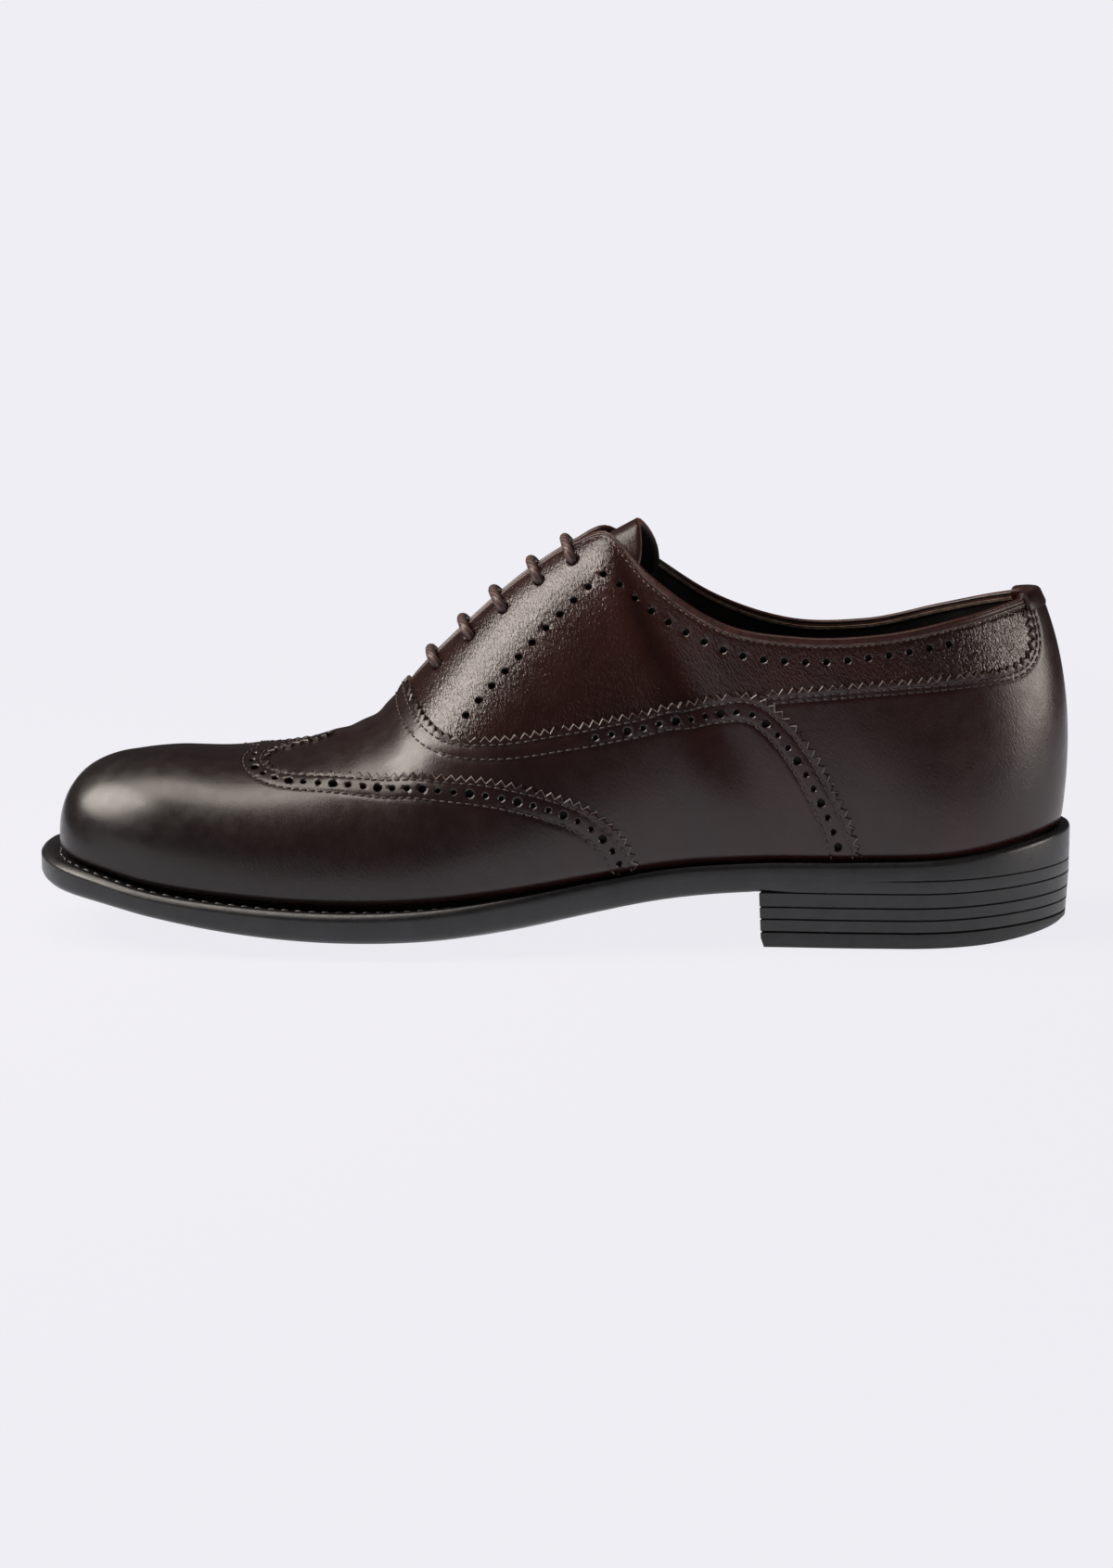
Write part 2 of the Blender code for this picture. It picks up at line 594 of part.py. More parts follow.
def cord(name, points, mat, parent):
    """Round cord along points in millimetres."""
    curve = bpy.data.curves.new(name, "CURVE")
    curve.dimensions = "3D"
    curve.bevel_depth = LACE_RADIUS * MM
    curve.bevel_resolution = 2
    curve.use_fill_caps = True
    spline = curve.splines.new("POLY")
    spline.points.add(len(points) - 1)
    for place, point in zip(spline.points, points):
        place.co = (*(point * MM), 1.0)
    curve.materials.append(mat)
    obj = bpy.data.objects.new(name, curve)
    obj.parent = parent
    bpy.context.scene.collection.objects.link(obj)
    return obj


def make_lace(mat, parent):
    """Five straight bars over the facings, joined by the run in the slit between them."""
    over = LACE_RADIUS + LACE_CLEARANCE
    run_t = np.linspace(share(EYELET_STATIONS[0]), share(EYELET_STATIONS[-1]), LACE_RUN_POINTS)
    middle = 0.5 * (lifted(run_t, -1.0, 1.0, LACE_RUN_LIFT) + lifted(run_t, 1.0, 1.0, LACE_RUN_LIFT))
    run = cord("lace_run", middle, mat, parent)
    girths = np.linspace(EYELET_GIRTH, 1.0, LACE_BAR_POINTS)
    bars = []
    for row, place in enumerate(EYELET_STATIONS):
        t = np.full(len(girths), share(place))
        path = np.concatenate([lifted(t, -1.0, girths, over), lifted(t, 1.0, girths[::-1], over)])
        bars.append(cord(f"lace_bar_{row + 1}", path, mat, parent))
    return join("lace", [run] + bars, mat, parent)


def join(name, pieces, mat, parent):
    """One solid from curves that cross, by Boolean union of their meshes."""
    whole = None
    for piece in pieces:
        mesh = bpy.data.meshes.new_from_object(piece.evaluated_get(bpy.context.evaluated_depsgraph_get()))
        if whole is None:
            whole = bpy.data.objects.new(name, mesh)
            whole.parent = parent
            bpy.context.scene.collection.objects.link(whole)
        else:
            guide = bpy.data.objects.new(piece.name + "_form", mesh)
            guide.hide_render = True
            guide.display_type = "WIRE"
            guide.parent = parent
            bpy.context.scene.collection.objects.link(guide)
            union = whole.modifiers.new(piece.name, "BOOLEAN")
            union.operation = "UNION"
            union.solver = "EXACT"
            union.object = guide
        bpy.data.objects.remove(piece)
    return whole


def main():
    for obj in list(bpy.data.objects):
        bpy.data.objects.remove(obj)
    shoe = bpy.data.objects.new("shoe", None)
    bpy.context.scene.collection.objects.link(shoe)

    sole_black = material("sole_black", (0.012, 0.011, 0.011), 0.38)
    heel_rubber = material("heel_rubber", (0.010, 0.010, 0.010), 0.60)
    insole_leather = material("insole_leather", (0.030, 0.026, 0.024), 0.65)
    oxblood = material("oxblood_leather", (0.055, 0.016, 0.012), 0.32)
    burnished = material("burnished_leather", (0.030, 0.014, 0.012), 0.28)
    tongue_leather = material("tongue_leather", (0.070, 0.022, 0.014), 0.45)
    lace_cord = material("lace_cord", (0.030, 0.014, 0.010), 0.55)

    make_outsole(sole_black, shoe)
    make_welt(sole_black, shoe)
    make_heel(sole_black, shoe)
    make_top_lift(heel_rubber, shoe)
    make_insole(insole_leather, shoe)
    make_upper(oxblood, shoe)
    make_wing_cap(burnished, shoe)
    make_side_panel(burnished, shoe)
    make_counter(burnished, shoe)
    make_back_tab(burnished, shoe)
    make_tongue(tongue_leather, shoe)
    make_lace(lace_cord, shoe)


main()
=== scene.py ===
"""Looks of the right-foot full-brogue lace-up dress shoe.

Panels, stitches and sole are drawn on the same surfaces as the solids of the frame. Sizes are in
millimetres and become metres where the meshes are made. The toe points along -X, the inner side of
the foot is -Y and the floor is z = 0.
"""
import math

import bmesh
import bpy
import numpy as np
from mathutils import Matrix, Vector
from mathutils.geometry import delaunay_2d_cdt
from mathutils.kdtree import KDTree


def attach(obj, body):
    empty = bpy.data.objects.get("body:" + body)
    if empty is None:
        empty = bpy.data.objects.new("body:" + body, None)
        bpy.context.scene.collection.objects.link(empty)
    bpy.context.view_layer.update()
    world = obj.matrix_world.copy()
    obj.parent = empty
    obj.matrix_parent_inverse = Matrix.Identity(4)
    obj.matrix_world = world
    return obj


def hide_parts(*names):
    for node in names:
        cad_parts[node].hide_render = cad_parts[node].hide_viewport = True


MM = 0.001

# Driving dimensions, as in the part's source
LENGTH = 300.0
TOE_ROUND = 36.0
TOE_POWER = 2.5
HEEL_ROUND = 52.0
HEEL_POWER = 2.1
HEEL_HEIGHT = 16.4
TOP_LIFT_HEIGHT = 4.8
LIFT_SEAMS = (8.5, 12.1)
BREAST_INNER = 57.6
BREAST_OUTER = 62.6
BREAST_HOLLOW = 4.0
BEVEL_START = 118.0
BEVEL_RISE = 2.4
BEVEL_SHOULDER = 0.6
HEEL_TAPER = 0.8
FOOT_ROUND = 0.8
TREAD_FLAT_SHARE = 0.3
TREAD_WEAR = 0.35
TREAD_ROUND = ((1.4, 0.0), (0.5, 0.7), (0.0, 1.8))
HEEL_LEAD = 2.0
WALL = 2.0
GAP = 0.3
INSOLE_RISE = 2.5
INSOLE_ROUND = 0.8

# Small steps and limits of the working, the last one in metres
SIDES = (-1.0, 1.0)
UP = np.array([0.0, 0.0, 1.0])
SHARE_STEP = 1e-3
END_SHARE = 0.02
TINY = 1e-6
OPEN_HALF = 0.02
CLOSED_HALF = -2.0
MERGE_FLAT = 1e-5
WELD = 4e-6


def table(names, rows):
    """Columns of a table by name."""
    return dict(zip(names.split(), np.array(rows, float).T))


# One row for each station of the sole: its axis and half breadth in plan, height of the tread on
# the axis, rise of the tread's edge, depth of the whole edge, the welt's share of that depth, and
# the margin from the sole's edge in to the upper's foot.
SOLE = table("x axis half bottom camber edge welt margin", (
    (-150, -7.8, 30.0, 17.0, 0.8, 7.0, 2.4, 8.3),
    (-134, -8.2, 31.3, 12.5, 2.6, 6.5, 2.4, 7.7),
    (-115, -6.8, 38.0, 7.6, 3.6, 6.4, 2.4, 7.5),
    (-90, -4.6, 44.8, 2.8, 4.6, 7.4, 2.6, 7.5),
    (-62, -1.6, 50.0, 0.0, 5.4, 8.0, 2.8, 7.2),
    (-36, 0.25, 51.6, 0.0, 6.1, 8.2, 3.0, 6.2),
    (-12, 1.1, 48.8, 2.6, 6.2, 8.3, 3.2, 4.6),
    (10, 1.3, 43.5, 7.0, 5.0, 8.4, 3.6, 3.4),
    (32, 0.3, 39.0, 12.0, 3.1, 8.4, 3.9, 3.0),
    (57, -1.9, 36.3, 16.4, 0.3, 8.4, 4.3, 3.0),
    (85, -4.4, 35.6, 16.4, 0.3, 8.9, 5.0, 3.1),
    (115, -5.7, 34.6, 16.4, 0.3, 10.0, 6.2, 3.2),
    (135, -5.7, 31.5, 16.4, 0.3, 12.3, 8.5, 3.4),
    (150, -5.7, 28.0, 16.4, 0.3, 14.3, 10.5, 3.6),
))

# One row for each section of the upper. A section starts on the sole at the station "foot" and ends
# on the ridge, facing or collar at the station "top", half a breadth off the axis, at the heights
# "inner" and "outer" of the foot's two sides. A negative half breadth is a closed ridge. It leaves
# the sole at "lean" degrees outward of vertical and meets the top "crown" degrees below level, and
# "rise" and "reach" are its fullness there.
UPPER = table("foot top axis half inner outer lean crown rise reach", (
    (-150, -126.0, -7.6, -2.0, 48.5, 48.5, 5, 17, 0.50, 0.42),
    (-138, -120.5, -7.2, -2.0, 49.7, 49.7, 5, 12, 0.49, 0.43),
    (-115, -108.0, -6.4, -2.0, 50.5, 50.5, 5, 7, 0.46, 0.46),
    (-88, -86.0, -5.0, -2.0, 50.3, 50.3, 5, 6, 0.46, 0.46),
    (-63, -63.5, -3.6, -2.0, 55.0, 55.0, 6, 8, 0.45, 0.45),
    (-46, -50.5, -3.0, -2.0, 61.2, 61.2, 7, 10, 0.44, 0.37),
    (-30, -40.0, -2.8, 1.0, 74.4, 74.4, 8, 11, 0.42, 0.30),
    (-10, -25.0, -2.6, 3.0, 89.2, 89.2, 9, 14, 0.40, 0.27),
    (10, -9.0, -2.6, 3.2, 103.0, 103.0, 10, 16, 0.38, 0.25),
    (27, 5.5, -2.8, 3.6, 112.4, 112.4, 11, 20, 0.36, 0.25),
    (38, 14.0, -3.0, 6.0, 116.0, 116.0, 10, 34, 0.35, 0.28),
    (52, 26.0, -3.4, 17.0, 105.0, 107.0, 9, 70, 0.34, 0.33),
    (72, 46.0, -4.0, 26.0, 92.6, 93.2, 8, 80, 0.33, 0.33),
    (92, 68.0, -4.6, 29.6, 89.0, 85.2, 6, 84, 0.33, 0.33),
    (112, 91.0, -5.2, 29.0, 89.6, 84.9, 5, 84, 0.33, 0.33),
    (130, 113.0, -5.6, 24.0, 93.3, 90.3, 5, 82, 0.33, 0.33),
    (142, 127.6, -5.7, 14.6, 96.2, 95.0, 6, 75, 0.33, 0.35),
    (150, 138.6, -5.7, 0.0, 98.2, 98.2, 7, 66, 0.33, 0.36),
))

# Edges of the overlays, drawn on the inner side and mirrored to the outer side. A row is a station
# of the sole and a girth share: 0 on the sole, 1 on the ridge or collar.
WING_EDGE = (
    (-64, 1.0), (-72, 0.975), (-79, 0.95), (-83.3, 0.905), (-84, 0.84), (-82.5, 0.766), (-78, 0.709),
    (-70.4, 0.672), (-59.4, 0.62), (-42.6, 0.515), (-28.5, 0.418), (-15.6, 0.353), (3, 0.247),
    (10.9, 0.197), (16.9, 0.14), (20.5, 0.084), (23.6, 0.0),
)
VAMP_EDGE = (
    (-33.5, 1.0), (-33.6, 0.897), (-32.4, 0.759), (-29.9, 0.647), (-26.3, 0.568), (-22.2, 0.526),
    (-13.4, 0.478), (4.9, 0.426), (16.2, 0.408), (29.8, 0.405), (35.6, 0.414), (41, 0.445), (48.6, 0.519),
    (56, 0.589), (68, 0.683), (75.2, 0.727), (78.6, 0.722), (81.2, 0.684), (83.6, 0.609), (84.7, 0.503),
    (84.8, 0.32), (85.2, 0.145), (86.1, 0.0),
)
COUNTER_EDGE = (
    (79.8, 0.75), (89, 0.776), (101, 0.797), (114.6, 0.796), (125.3, 0.774), (134.8, 0.755), (140.4, 0.75),
    (143.2, 0.765), (145, 0.795), (145.9, 0.84), (146.1, 0.89), (146, 0.955),
)
VAMP_CORNER_ROW = 15
TAB_STATION = 146.6
EYELET_STATIONS = (-23.7, -11.6, 0.0, 13.0, 24.3)
EYELET_GIRTH = 0.905
LACE_RADIUS = 1.25
TONGUE_START = -40.0
TONGUE_END = 31.0
TONGUE_GIRTH = 0.74
TONGUE_EDGE_DROP = 0.8
TONGUE_TIP = (13.0, 7.0)
TONGUE_SKEW = 9.0
UNDER_FACING = 1.1

# Girth and length of the upper, which keep distances true where the panels are laid out flat
FLAT_LENGTH = 330.0
FLAT_GIRTH = 75.0


def unit(vectors):
    return vectors / np.linalg.norm(vectors, axis=-1, keepdims=True)


def alike(*values):
    """The values as float arrays of one shape."""
    return np.broadcast_arrays(*(np.asarray(value, float) for value in values))


def hermite(keys, values, at, level_ends=False):
    """Smooth curve through a table's rows, read at the given places."""
    slopes = np.gradient(values, keys)
    if level_ends:
        slopes[0] = slopes[-1] = 0.0
    at = np.clip(at, keys[0], keys[-1])
    low = np.clip(np.searchsorted(keys, at, side="right") - 1, 0, len(keys) - 2)
    step = keys[low + 1] - keys[low]
    s = (at - keys[low]) / step
    start = (1 + 2 * s) * (1 - s) ** 2 * values[low] + s * (1 - s) ** 2 * step * slopes[low]
    end = s * s * (3 - 2 * s) * values[low + 1] + s * s * (s - 1) * step * slopes[low + 1]
    return start + end


def station(t):
    """Place along the shoe for a share t of the way round from toe (0) to heel (1)."""
    return -0.5 * LENGTH * np.cos(math.pi * np.asarray(t, float))


def share(x):
    """The inverse of station."""
    return np.arccos(np.clip(-2.0 * np.asarray(x, float) / LENGTH, -1.0, 1.0)) / math.pi


def sole(name, x):
    return hermite(SOLE["x"], SOLE[name], x)


UPPER_KEYS = share(UPPER["foot"])


def upper(name, t):
    return hermite(UPPER_KEYS, UPPER[name], t, level_ends=name != "half")


def plan(t, side):
    """Point of the sole's outline in plan."""
    x = station(t)
    half_length = 0.5 * LENGTH
    toe = np.clip((TOE_ROUND - half_length - x) / TOE_ROUND, 0.0, 1.0)
    heel = np.clip((x - half_length + HEEL_ROUND) / HEEL_ROUND, 0.0, 1.0)
    taper = (1 - toe ** TOE_POWER) ** (1 / TOE_POWER) * (1 - heel ** HEEL_POWER) ** (1 / HEEL_POWER)
    return np.stack([x, sole("axis", x) + side * sole("half", x) * taper], axis=-1)


def plan_normal(t, side):
    """Outward direction of the outline in plan."""
    t = np.asarray(t, float)
    run = plan(np.minimum(t + SHARE_STEP, 1.0), side) - plan(np.maximum(t - SHARE_STEP, 0.0), side)
    out = np.stack([-side * run[..., 1], side * run[..., 0]], axis=-1)
    out[t < TINY] = (-1.0, 0.0)
    out[t > 1 - TINY] = (1.0, 0.0)
    return unit(out)


def outline(t, side, inset):
    return plan(t, side) - plan_normal(t, side) * np.asarray(inset, float)[..., None]


def seat_height(x):
    """Top of the welt, on which the upper stands."""
    return sole("bottom", x) + sole("camber", x) - TREAD_WEAR + sole("edge", x)


def tread_height(xy):
    """Underside of the outsole: cambered across, worn flat where it meets the floor."""
    x, y = xy.T
    across = np.abs(y - sole("axis", x)) / sole("half", x)
    bow = np.clip((across - TREAD_FLAT_SHARE) / (1 - TREAD_FLAT_SHARE), 0.0, 1.0) ** 2
    height = sole("bottom", x) + sole("camber", x) * bow - TREAD_WEAR
    return np.where(x > BREAST_INNER - HEEL_LEAD, HEEL_HEIGHT, np.maximum(height, 0.0))


def skin(t, side, v):
    """Point of the upper's outer face: v runs from the sole (0) to the ridge or collar (1)."""
    t, side, v = alike(t, side, v)
    out = plan_normal(t, side)
    margin = sole("margin", station(t))
    foot_xy = plan(t, side) - out * margin[..., None]
    foot = np.concatenate([foot_xy, seat_height(foot_xy[..., :1]) + GAP], axis=-1)
    height = np.where(side < 0, upper("inner", t), upper("outer", t))
    half = np.maximum(upper("half", t), 0.0)
    top = np.stack([upper("top", t), upper("axis", t) + side * half, height], axis=-1)
    out = np.concatenate([out, np.zeros_like(out[..., :1])], axis=-1)
    chord = np.linalg.norm(top - foot, axis=-1)
    lean = np.radians(upper("lean", t))[..., None]
    crown = np.radians(upper("crown", t))[..., None]
    low = foot + (upper("rise", t) * chord)[..., None] * (np.cos(lean) * UP + np.sin(lean) * out)
    high = top + (upper("reach", t) * chord)[..., None] * (np.cos(crown) * out - np.sin(crown) * UP)
    v = v[..., None]
    return (1 - v) ** 3 * foot + 3 * v * (1 - v) ** 2 * low + 3 * v * v * (1 - v) * high + v ** 3 * top


def skin_runs(t, side, v):
    """Small runs of the skin along the shoe and up its side, and the girth share of the second."""
    near = np.clip(t, END_SHARE, 1.0 - END_SHARE)
    low = np.maximum(v - SHARE_STEP, 0.0)
    high = np.minimum(v + SHARE_STEP, 1.0)
    along = skin(near + SHARE_STEP, side, v) - skin(near - SHARE_STEP, side, v)
    return along, skin(near, side, high) - skin(near, side, low), high - low


def skin_normal(t, side, v):
    """Outward direction of the upper's outer face."""
    t, side, v = alike(t, side, v)
    along, around, _ = skin_runs(t, side, v)
    normal = np.cross(along, around) * -side[..., None]
    closed = (v > 1 - TINY) & (upper("half", t) < OPEN_HALF)
    normal[closed | (t < TINY) | (t > 1 - TINY), 1] = 0.0
    return unit(normal)


def lifted(t, side, v, lift):
    """Point at a distance off the upper's outer face."""
    return skin(t, side, v) + skin_normal(t, side, v) * np.asarray(lift, float)[..., None]


# Layout of the panels on the skin
PANEL_SPACING = 0.7
PANEL_CLEAR = 0.55
LINE_SPACING = 1.0
HEM_SPACING = 1.5
END_POINTS = 60
ASIDE_STEP = 1.2
# Material indices of cut edges, partly a painted highlight, and of holes, painted near-black shade
CUT_HIGHLIGHT_KIND = 1
HOLE_SHADE_KIND = 2
GIMP_PITCH = 2.8
GIMP_DEPTH = 1.6
UNDERLAP = 2.8
WING_ROWS = (1.75, 7.2)
WING_HOLE_ROW = 4.3
VAMP_ROW = 2.05
VAMP_HOLE_ROW = (3.7, 5.4)
VAMP_ROW_TWO = (5.6, 8.1)
LARGE_HOLE = 1.15
SMALL_HOLE = 0.75
HOLE_DEPTH = 1.5
HOLE_POINTS = 14
HOLE_BEVEL = 0.35
HOLE_SINK = 0.3
GROOVE_DEPTH = 0.26
GROOVE_WIDTH = 0.6
EDGE_BEVEL = 0.3
BEVEL_TURN = 0.4
EDGE_SINK = 0.3
SKIRT_LIFT = -0.3
HEM_TUCK = 0.05
WING_LAYER = 2.6
VAMP_LAYER = 1.6
COUNTER_LAYER = 0.9

# Soft creases across the vamp: station on the ridge, station at the low end, girth share of the low
# end, depth and half width
CREASES = table("ridge low girth depth width", (
    (-68, -78, 0.62, 0.16, 3.0),
    (-57, -60, 0.48, 0.24, 2.6),
    (-48, -42, 0.52, 0.20, 2.4),
    (-40, -30, 0.58, 0.14, 2.2),
))
CREASE_END = 1.25
CREASE_LIMIT = 1.5
LIP_SHARE = 0.45
LIP_PLACE = 1.9

# Rounding of the forepart's ridge: its reach, the steepest slope and the shares over which it sets in
RIDGE_ROUND = 9.0
RIDGE_SLOPE = 8.0
RIDGE_BEGIN = (0.05, 0.2)


def crease(t, girth):
    """Depth of the soft creases: a trough with a lip on either side, fading out down the side."""
    x = station(t)
    total = np.zeros(np.shape(x))
    for ridge, low, end, depth, width in zip(*CREASES.values()):
        down = np.clip((1.0 - girth) / (1.0 - end), 0.0, CREASE_LIMIT)
        fade = np.clip(CREASE_END - down, 0.0, 1.0)
        away = (x - ridge - (low - ridge) * down) / width
        trough = np.exp(-away ** 2)
        lips = np.exp(-(away - LIP_PLACE) ** 2) + np.exp(-(away + LIP_PLACE) ** 2)
        total += depth * fade * (LIP_SHARE * lips - trough)
    return total


def place(flat, side=0):
    """Share, side and girth share of points in the layout. Side 0 takes the side from the layout."""
    flat = np.asarray(flat, float)
    sides = np.where(flat[..., 1] > 0.0, 1.0, -1.0) if side == 0 else np.full(flat.shape[:-1], float(side))
    return flat[..., 0] / FLAT_LENGTH, sides, 1.0 - np.abs(flat[..., 1]) / FLAT_GIRTH


def smooth_step(low, high, at):
    s = np.clip((at - low) / (high - low), 0.0, 1.0)
    return s * s * (3 - 2 * s)


def ridge_drop(t, girth):
    """How far the fold along the closed ridge of the forepart is rounded off."""
    closed = np.clip(upper("half", t) / CLOSED_HALF, 0.0, 1.0) * smooth_step(*RIDGE_BEGIN, t)
    near = np.clip(1.0 - (1.0 - girth) * FLAT_GIRTH / RIDGE_ROUND, 0.0, 1.0)
    slope = np.tan(np.radians(np.minimum(upper("crown", t), RIDGE_SLOPE)))
    return closed * slope * 0.5 * RIDGE_ROUND * near ** 2


def layer_lift(flat, layer, side=0):
    """Height of a panel's face off the skin, tucked in at the sole, with the creases."""
    t, _, girth = place(flat, side)
    tuck = 1.0 - (1.0 - np.clip(girth / HEM_TUCK, 0.0, 1.0)) ** 2
    return layer * tuck + crease(t, girth) - ridge_drop(t, girth)


def on_skin(flat, lift=0.0, side=0):
    return lifted(*place(flat, side), lift)


def flat_move(flat, vector, side=0):
    """Step in the layout that follows a small vector on the skin."""
    t, sides, girth = place(flat, side)
    along, around, rise = skin_runs(t, sides, girth)
    up = np.where(flat[..., 1] > 0.0, -1.0, 1.0) / (rise * FLAT_GIRTH)
    along = along / (2 * SHARE_STEP * FLAT_LENGTH)
    around = around * up[..., None]
    aa = (along ** 2).sum(axis=-1)
    ab = (along * around).sum(axis=-1)
    bb = (around ** 2).sum(axis=-1)
    va = (along * vector).sum(axis=-1)
    vb = (around * vector).sum(axis=-1)
    return np.stack([bb * va - ab * vb, aa * vb - ab * va], axis=-1) / (aa * bb - ab ** 2)[..., None]


def way_along(points):
    """Distance along a polyline at each of its points."""
    return np.concatenate([[0.0], np.cumsum(np.linalg.norm(np.diff(points, axis=0), axis=1))])


def read_line(points, way, at):
    """Points of a polyline at some distances along it."""
    return np.column_stack([np.interp(at, way, column) for column in points.T])


def read_curve(points, way, at):
    """Points of the smooth curve through a polyline, at some distances along it."""
    return np.column_stack([hermite(way, column, at) for column in points.T])


def flat_x(x):
    """Place along the layout of a station of the sole."""
    return share(x) * FLAT_LENGTH


def flat_y(girth):
    """Place across the layout of a girth share of the inner side."""
    return (girth - 1.0) * FLAT_GIRTH


def flat_line(rows):
    """A pattern edge laid out flat on the inner side, smooth through its rows."""
    x, girth = np.array(rows, float).T
    flat = np.column_stack([flat_x(x), flat_y(girth)])
    way = way_along(flat)
    return read_curve(flat, way, np.linspace(0.0, way[-1], int(way[-1] / LINE_SPACING) + 2))


def girth_line(start, end, girth):
    """Points along one girth share between two places of the layout, on the inner side."""
    count = int(abs(end - start) / HEM_SPACING) + 2
    return np.column_stack([np.linspace(start, end, count), np.full(count, flat_y(girth))])


def upright(x, start, end):
    """Points across the layout at one place along it."""
    return np.column_stack([np.full(END_POINTS, x), np.linspace(start, end, END_POINTS)])


def mirrored(line):
    return line * np.array([1.0, -1.0])


def directions(line, side=0):
    """Unit vectors on the skin along a flat line, across it and out of it."""
    run = unit(np.gradient(on_skin(line, 0.0, side), axis=0))
    normal = skin_normal(*place(line, side))
    return run, np.cross(normal, run), normal


def eased(line):
    """The line with its bends a little softer and its ends kept."""
    return np.concatenate([line[:1], 0.25 * line[:-2] + 0.5 * line[1:-1] + 0.25 * line[2:], line[-1:]])


def aside(line, distance):
    """A line of the inner side moved across by a true distance on the skin, in small eased steps."""
    distance = np.broadcast_to(distance, len(line))[:, None]
    steps = max(1, math.ceil(np.abs(distance).max() / ASIDE_STEP))
    for _ in range(steps):
        across = directions(line, -1)[1] * (distance / steps)
        line = eased(eased(line + flat_move(line, across, -1)))
        line[:, 1] = np.clip(line[:, 1], -FLAT_GIRTH, 0.0)
    return line[line[:, 1] < 0.0]


def evenly(line, pitch, begin=0.0):
    """Points of a line of the inner side at an even pitch on the skin, from a way along it."""
    way = way_along(on_skin(line, 0.0, -1))
    count = max(int(round((way[-1] - begin) / pitch)), 1)
    return read_line(line, way, np.linspace(begin, way[-1], count + 1))


def gimped(line):
    """A line of the inner side cut in teeth, with its two ends kept."""
    teeth = evenly(line, 0.5 * GIMP_PITCH)
    reach = np.where(np.arange(len(teeth)) % 2 == 0, 0.5, -0.5) * GIMP_DEPTH
    teeth[1:-1] += flat_move(teeth, directions(teeth, -1)[1] * reach[:, None], -1)[1:-1]
    return teeth


def brogue_holes(line, pitch, begin=0.0):
    """Holes along a line as layout place and radius, two small ones and a large one in turn."""
    points = evenly(line, pitch, begin)
    pattern = (LARGE_HOLE, SMALL_HOLE, SMALL_HOLE)
    radii = [pattern[i % len(pattern)] for i in range(len(points))]
    return np.column_stack([points, radii])[1:-1]


def nearest(points, targets):
    """Distance from each point to the nearest target."""
    tree = KDTree(len(targets))
    for i, target in enumerate(targets):
        tree.insert(target, i)
    tree.balance()
    return np.array([tree.find(point)[2] for point in points])


def as_3d(flat):
    return np.column_stack([flat, np.zeros(len(flat))])


def winding(loop):
    """Twice the area inside a loop of layout points, negative where it turns to the right."""
    x, y = loop.T
    return (x * np.roll(y, -1) - y * np.roll(x, -1)).sum()


def hole_rings(holes, side, widen):
    """Rings of layout points round the holes, at their radius and a little more."""
    turn = np.linspace(0.0, 2 * math.pi, HOLE_POINTS, endpoint=False)[:, None]
    rings = []
    for x, y, radius in holes:
        centre = np.repeat([[x, y]], HOLE_POINTS, axis=0)
        normal = skin_normal(*place(centre, side))
        along = unit(np.cross(UP, normal))
        vector = (np.cos(turn) * along + np.sin(turn) * np.cross(normal, along)) * (radius + widen)
        ring = centre + flat_move(centre, vector, side)
        rings.append(ring if winding(ring) > 0 else ring[::-1])
    return rings


def bevel_points(boundary, cut, side):
    """Layout points a bevel's width inside a cut outline, and which outline points have one."""
    both = cut & np.roll(cut, 1)
    points = on_skin(boundary, 0.0, side)
    normal = skin_normal(*place(boundary, side)) * (1.0 if side <= 0 else -1.0)
    before = np.cross(normal, unit(points - np.roll(points, 1, axis=0)))
    after = np.cross(normal, unit(np.roll(points, -1, axis=0) - points))
    middle = unit(before + after)
    reach = EDGE_BEVEL / np.maximum((middle * before).sum(axis=1), BEVEL_TURN)
    inner = boundary + flat_move(boundary, middle * reach[:, None], side)
    return inner[both], both


def clear_grid(over, avoid, spacing, clear, shift=0.0):
    """Grid over some points, every other row shifted, kept a share of its spacing clear of others."""
    low = over.min(axis=0)
    high = over.max(axis=0)
    xs, ys = np.meshgrid(*(np.arange(*ends, spacing) for ends in zip(low, high)))
    xs[1::2] += shift * spacing
    grid = np.column_stack([xs.ravel(), ys.ravel()])
    return grid[nearest(as_3d(grid), as_3d(avoid)) > clear * spacing]


def panel_points(edges, holes, rows, side):
    """Layout points inside a panel: a grid kept clear of its edges, holes and stitch rows."""
    avoid = np.concatenate([edges] + [row[::2] for row in rows])
    grid = clear_grid(edges, avoid, PANEL_SPACING, PANEL_CLEAR, 0.5)
    if len(holes):
        away = nearest(on_skin(grid, 0.0, side), on_skin(holes[:, :2], 0.0, side))
        grid = grid[away > holes[:, 2].max() + 2 * HOLE_BEVEL]
    return np.concatenate([grid] + list(rows) + hole_rings(holes, side, HOLE_BEVEL))


def closed_outline(pieces):
    """Outline of a panel, turning to the left, and which of its edges show as cut leather."""
    boundary = np.concatenate([line[:-1] for line, _ in pieces])
    cut = np.concatenate([np.full(len(line) - 1, shows) for line, shows in pieces])
    if winding(boundary) < 0:
        return boundary[::-1], np.roll(cut[::-1], -1)
    return boundary, cut


def loop_ranges(loops):
    """First and last point number of each loop, counted on from loop to loop."""
    starts = np.cumsum([0] + [len(loop) for loop in loops])
    return list(zip(starts[:-1], starts[1:]))


def filled(loops, inside, chain):
    """Points and triangles across an outline with rings in it, and where each given point went."""
    outlines = [list(range(*ends)) for ends in loop_ranges(loops)]
    points = [Vector(point) for point in np.concatenate(loops + [inside])]
    flat, _, faces, origins, *_ = delaunay_2d_cdt(points, chain, outlines, 1, MERGE_FLAT)
    index = {old: new for new, olds in enumerate(origins) for old in olds}
    return np.array(flat), np.array(faces), index


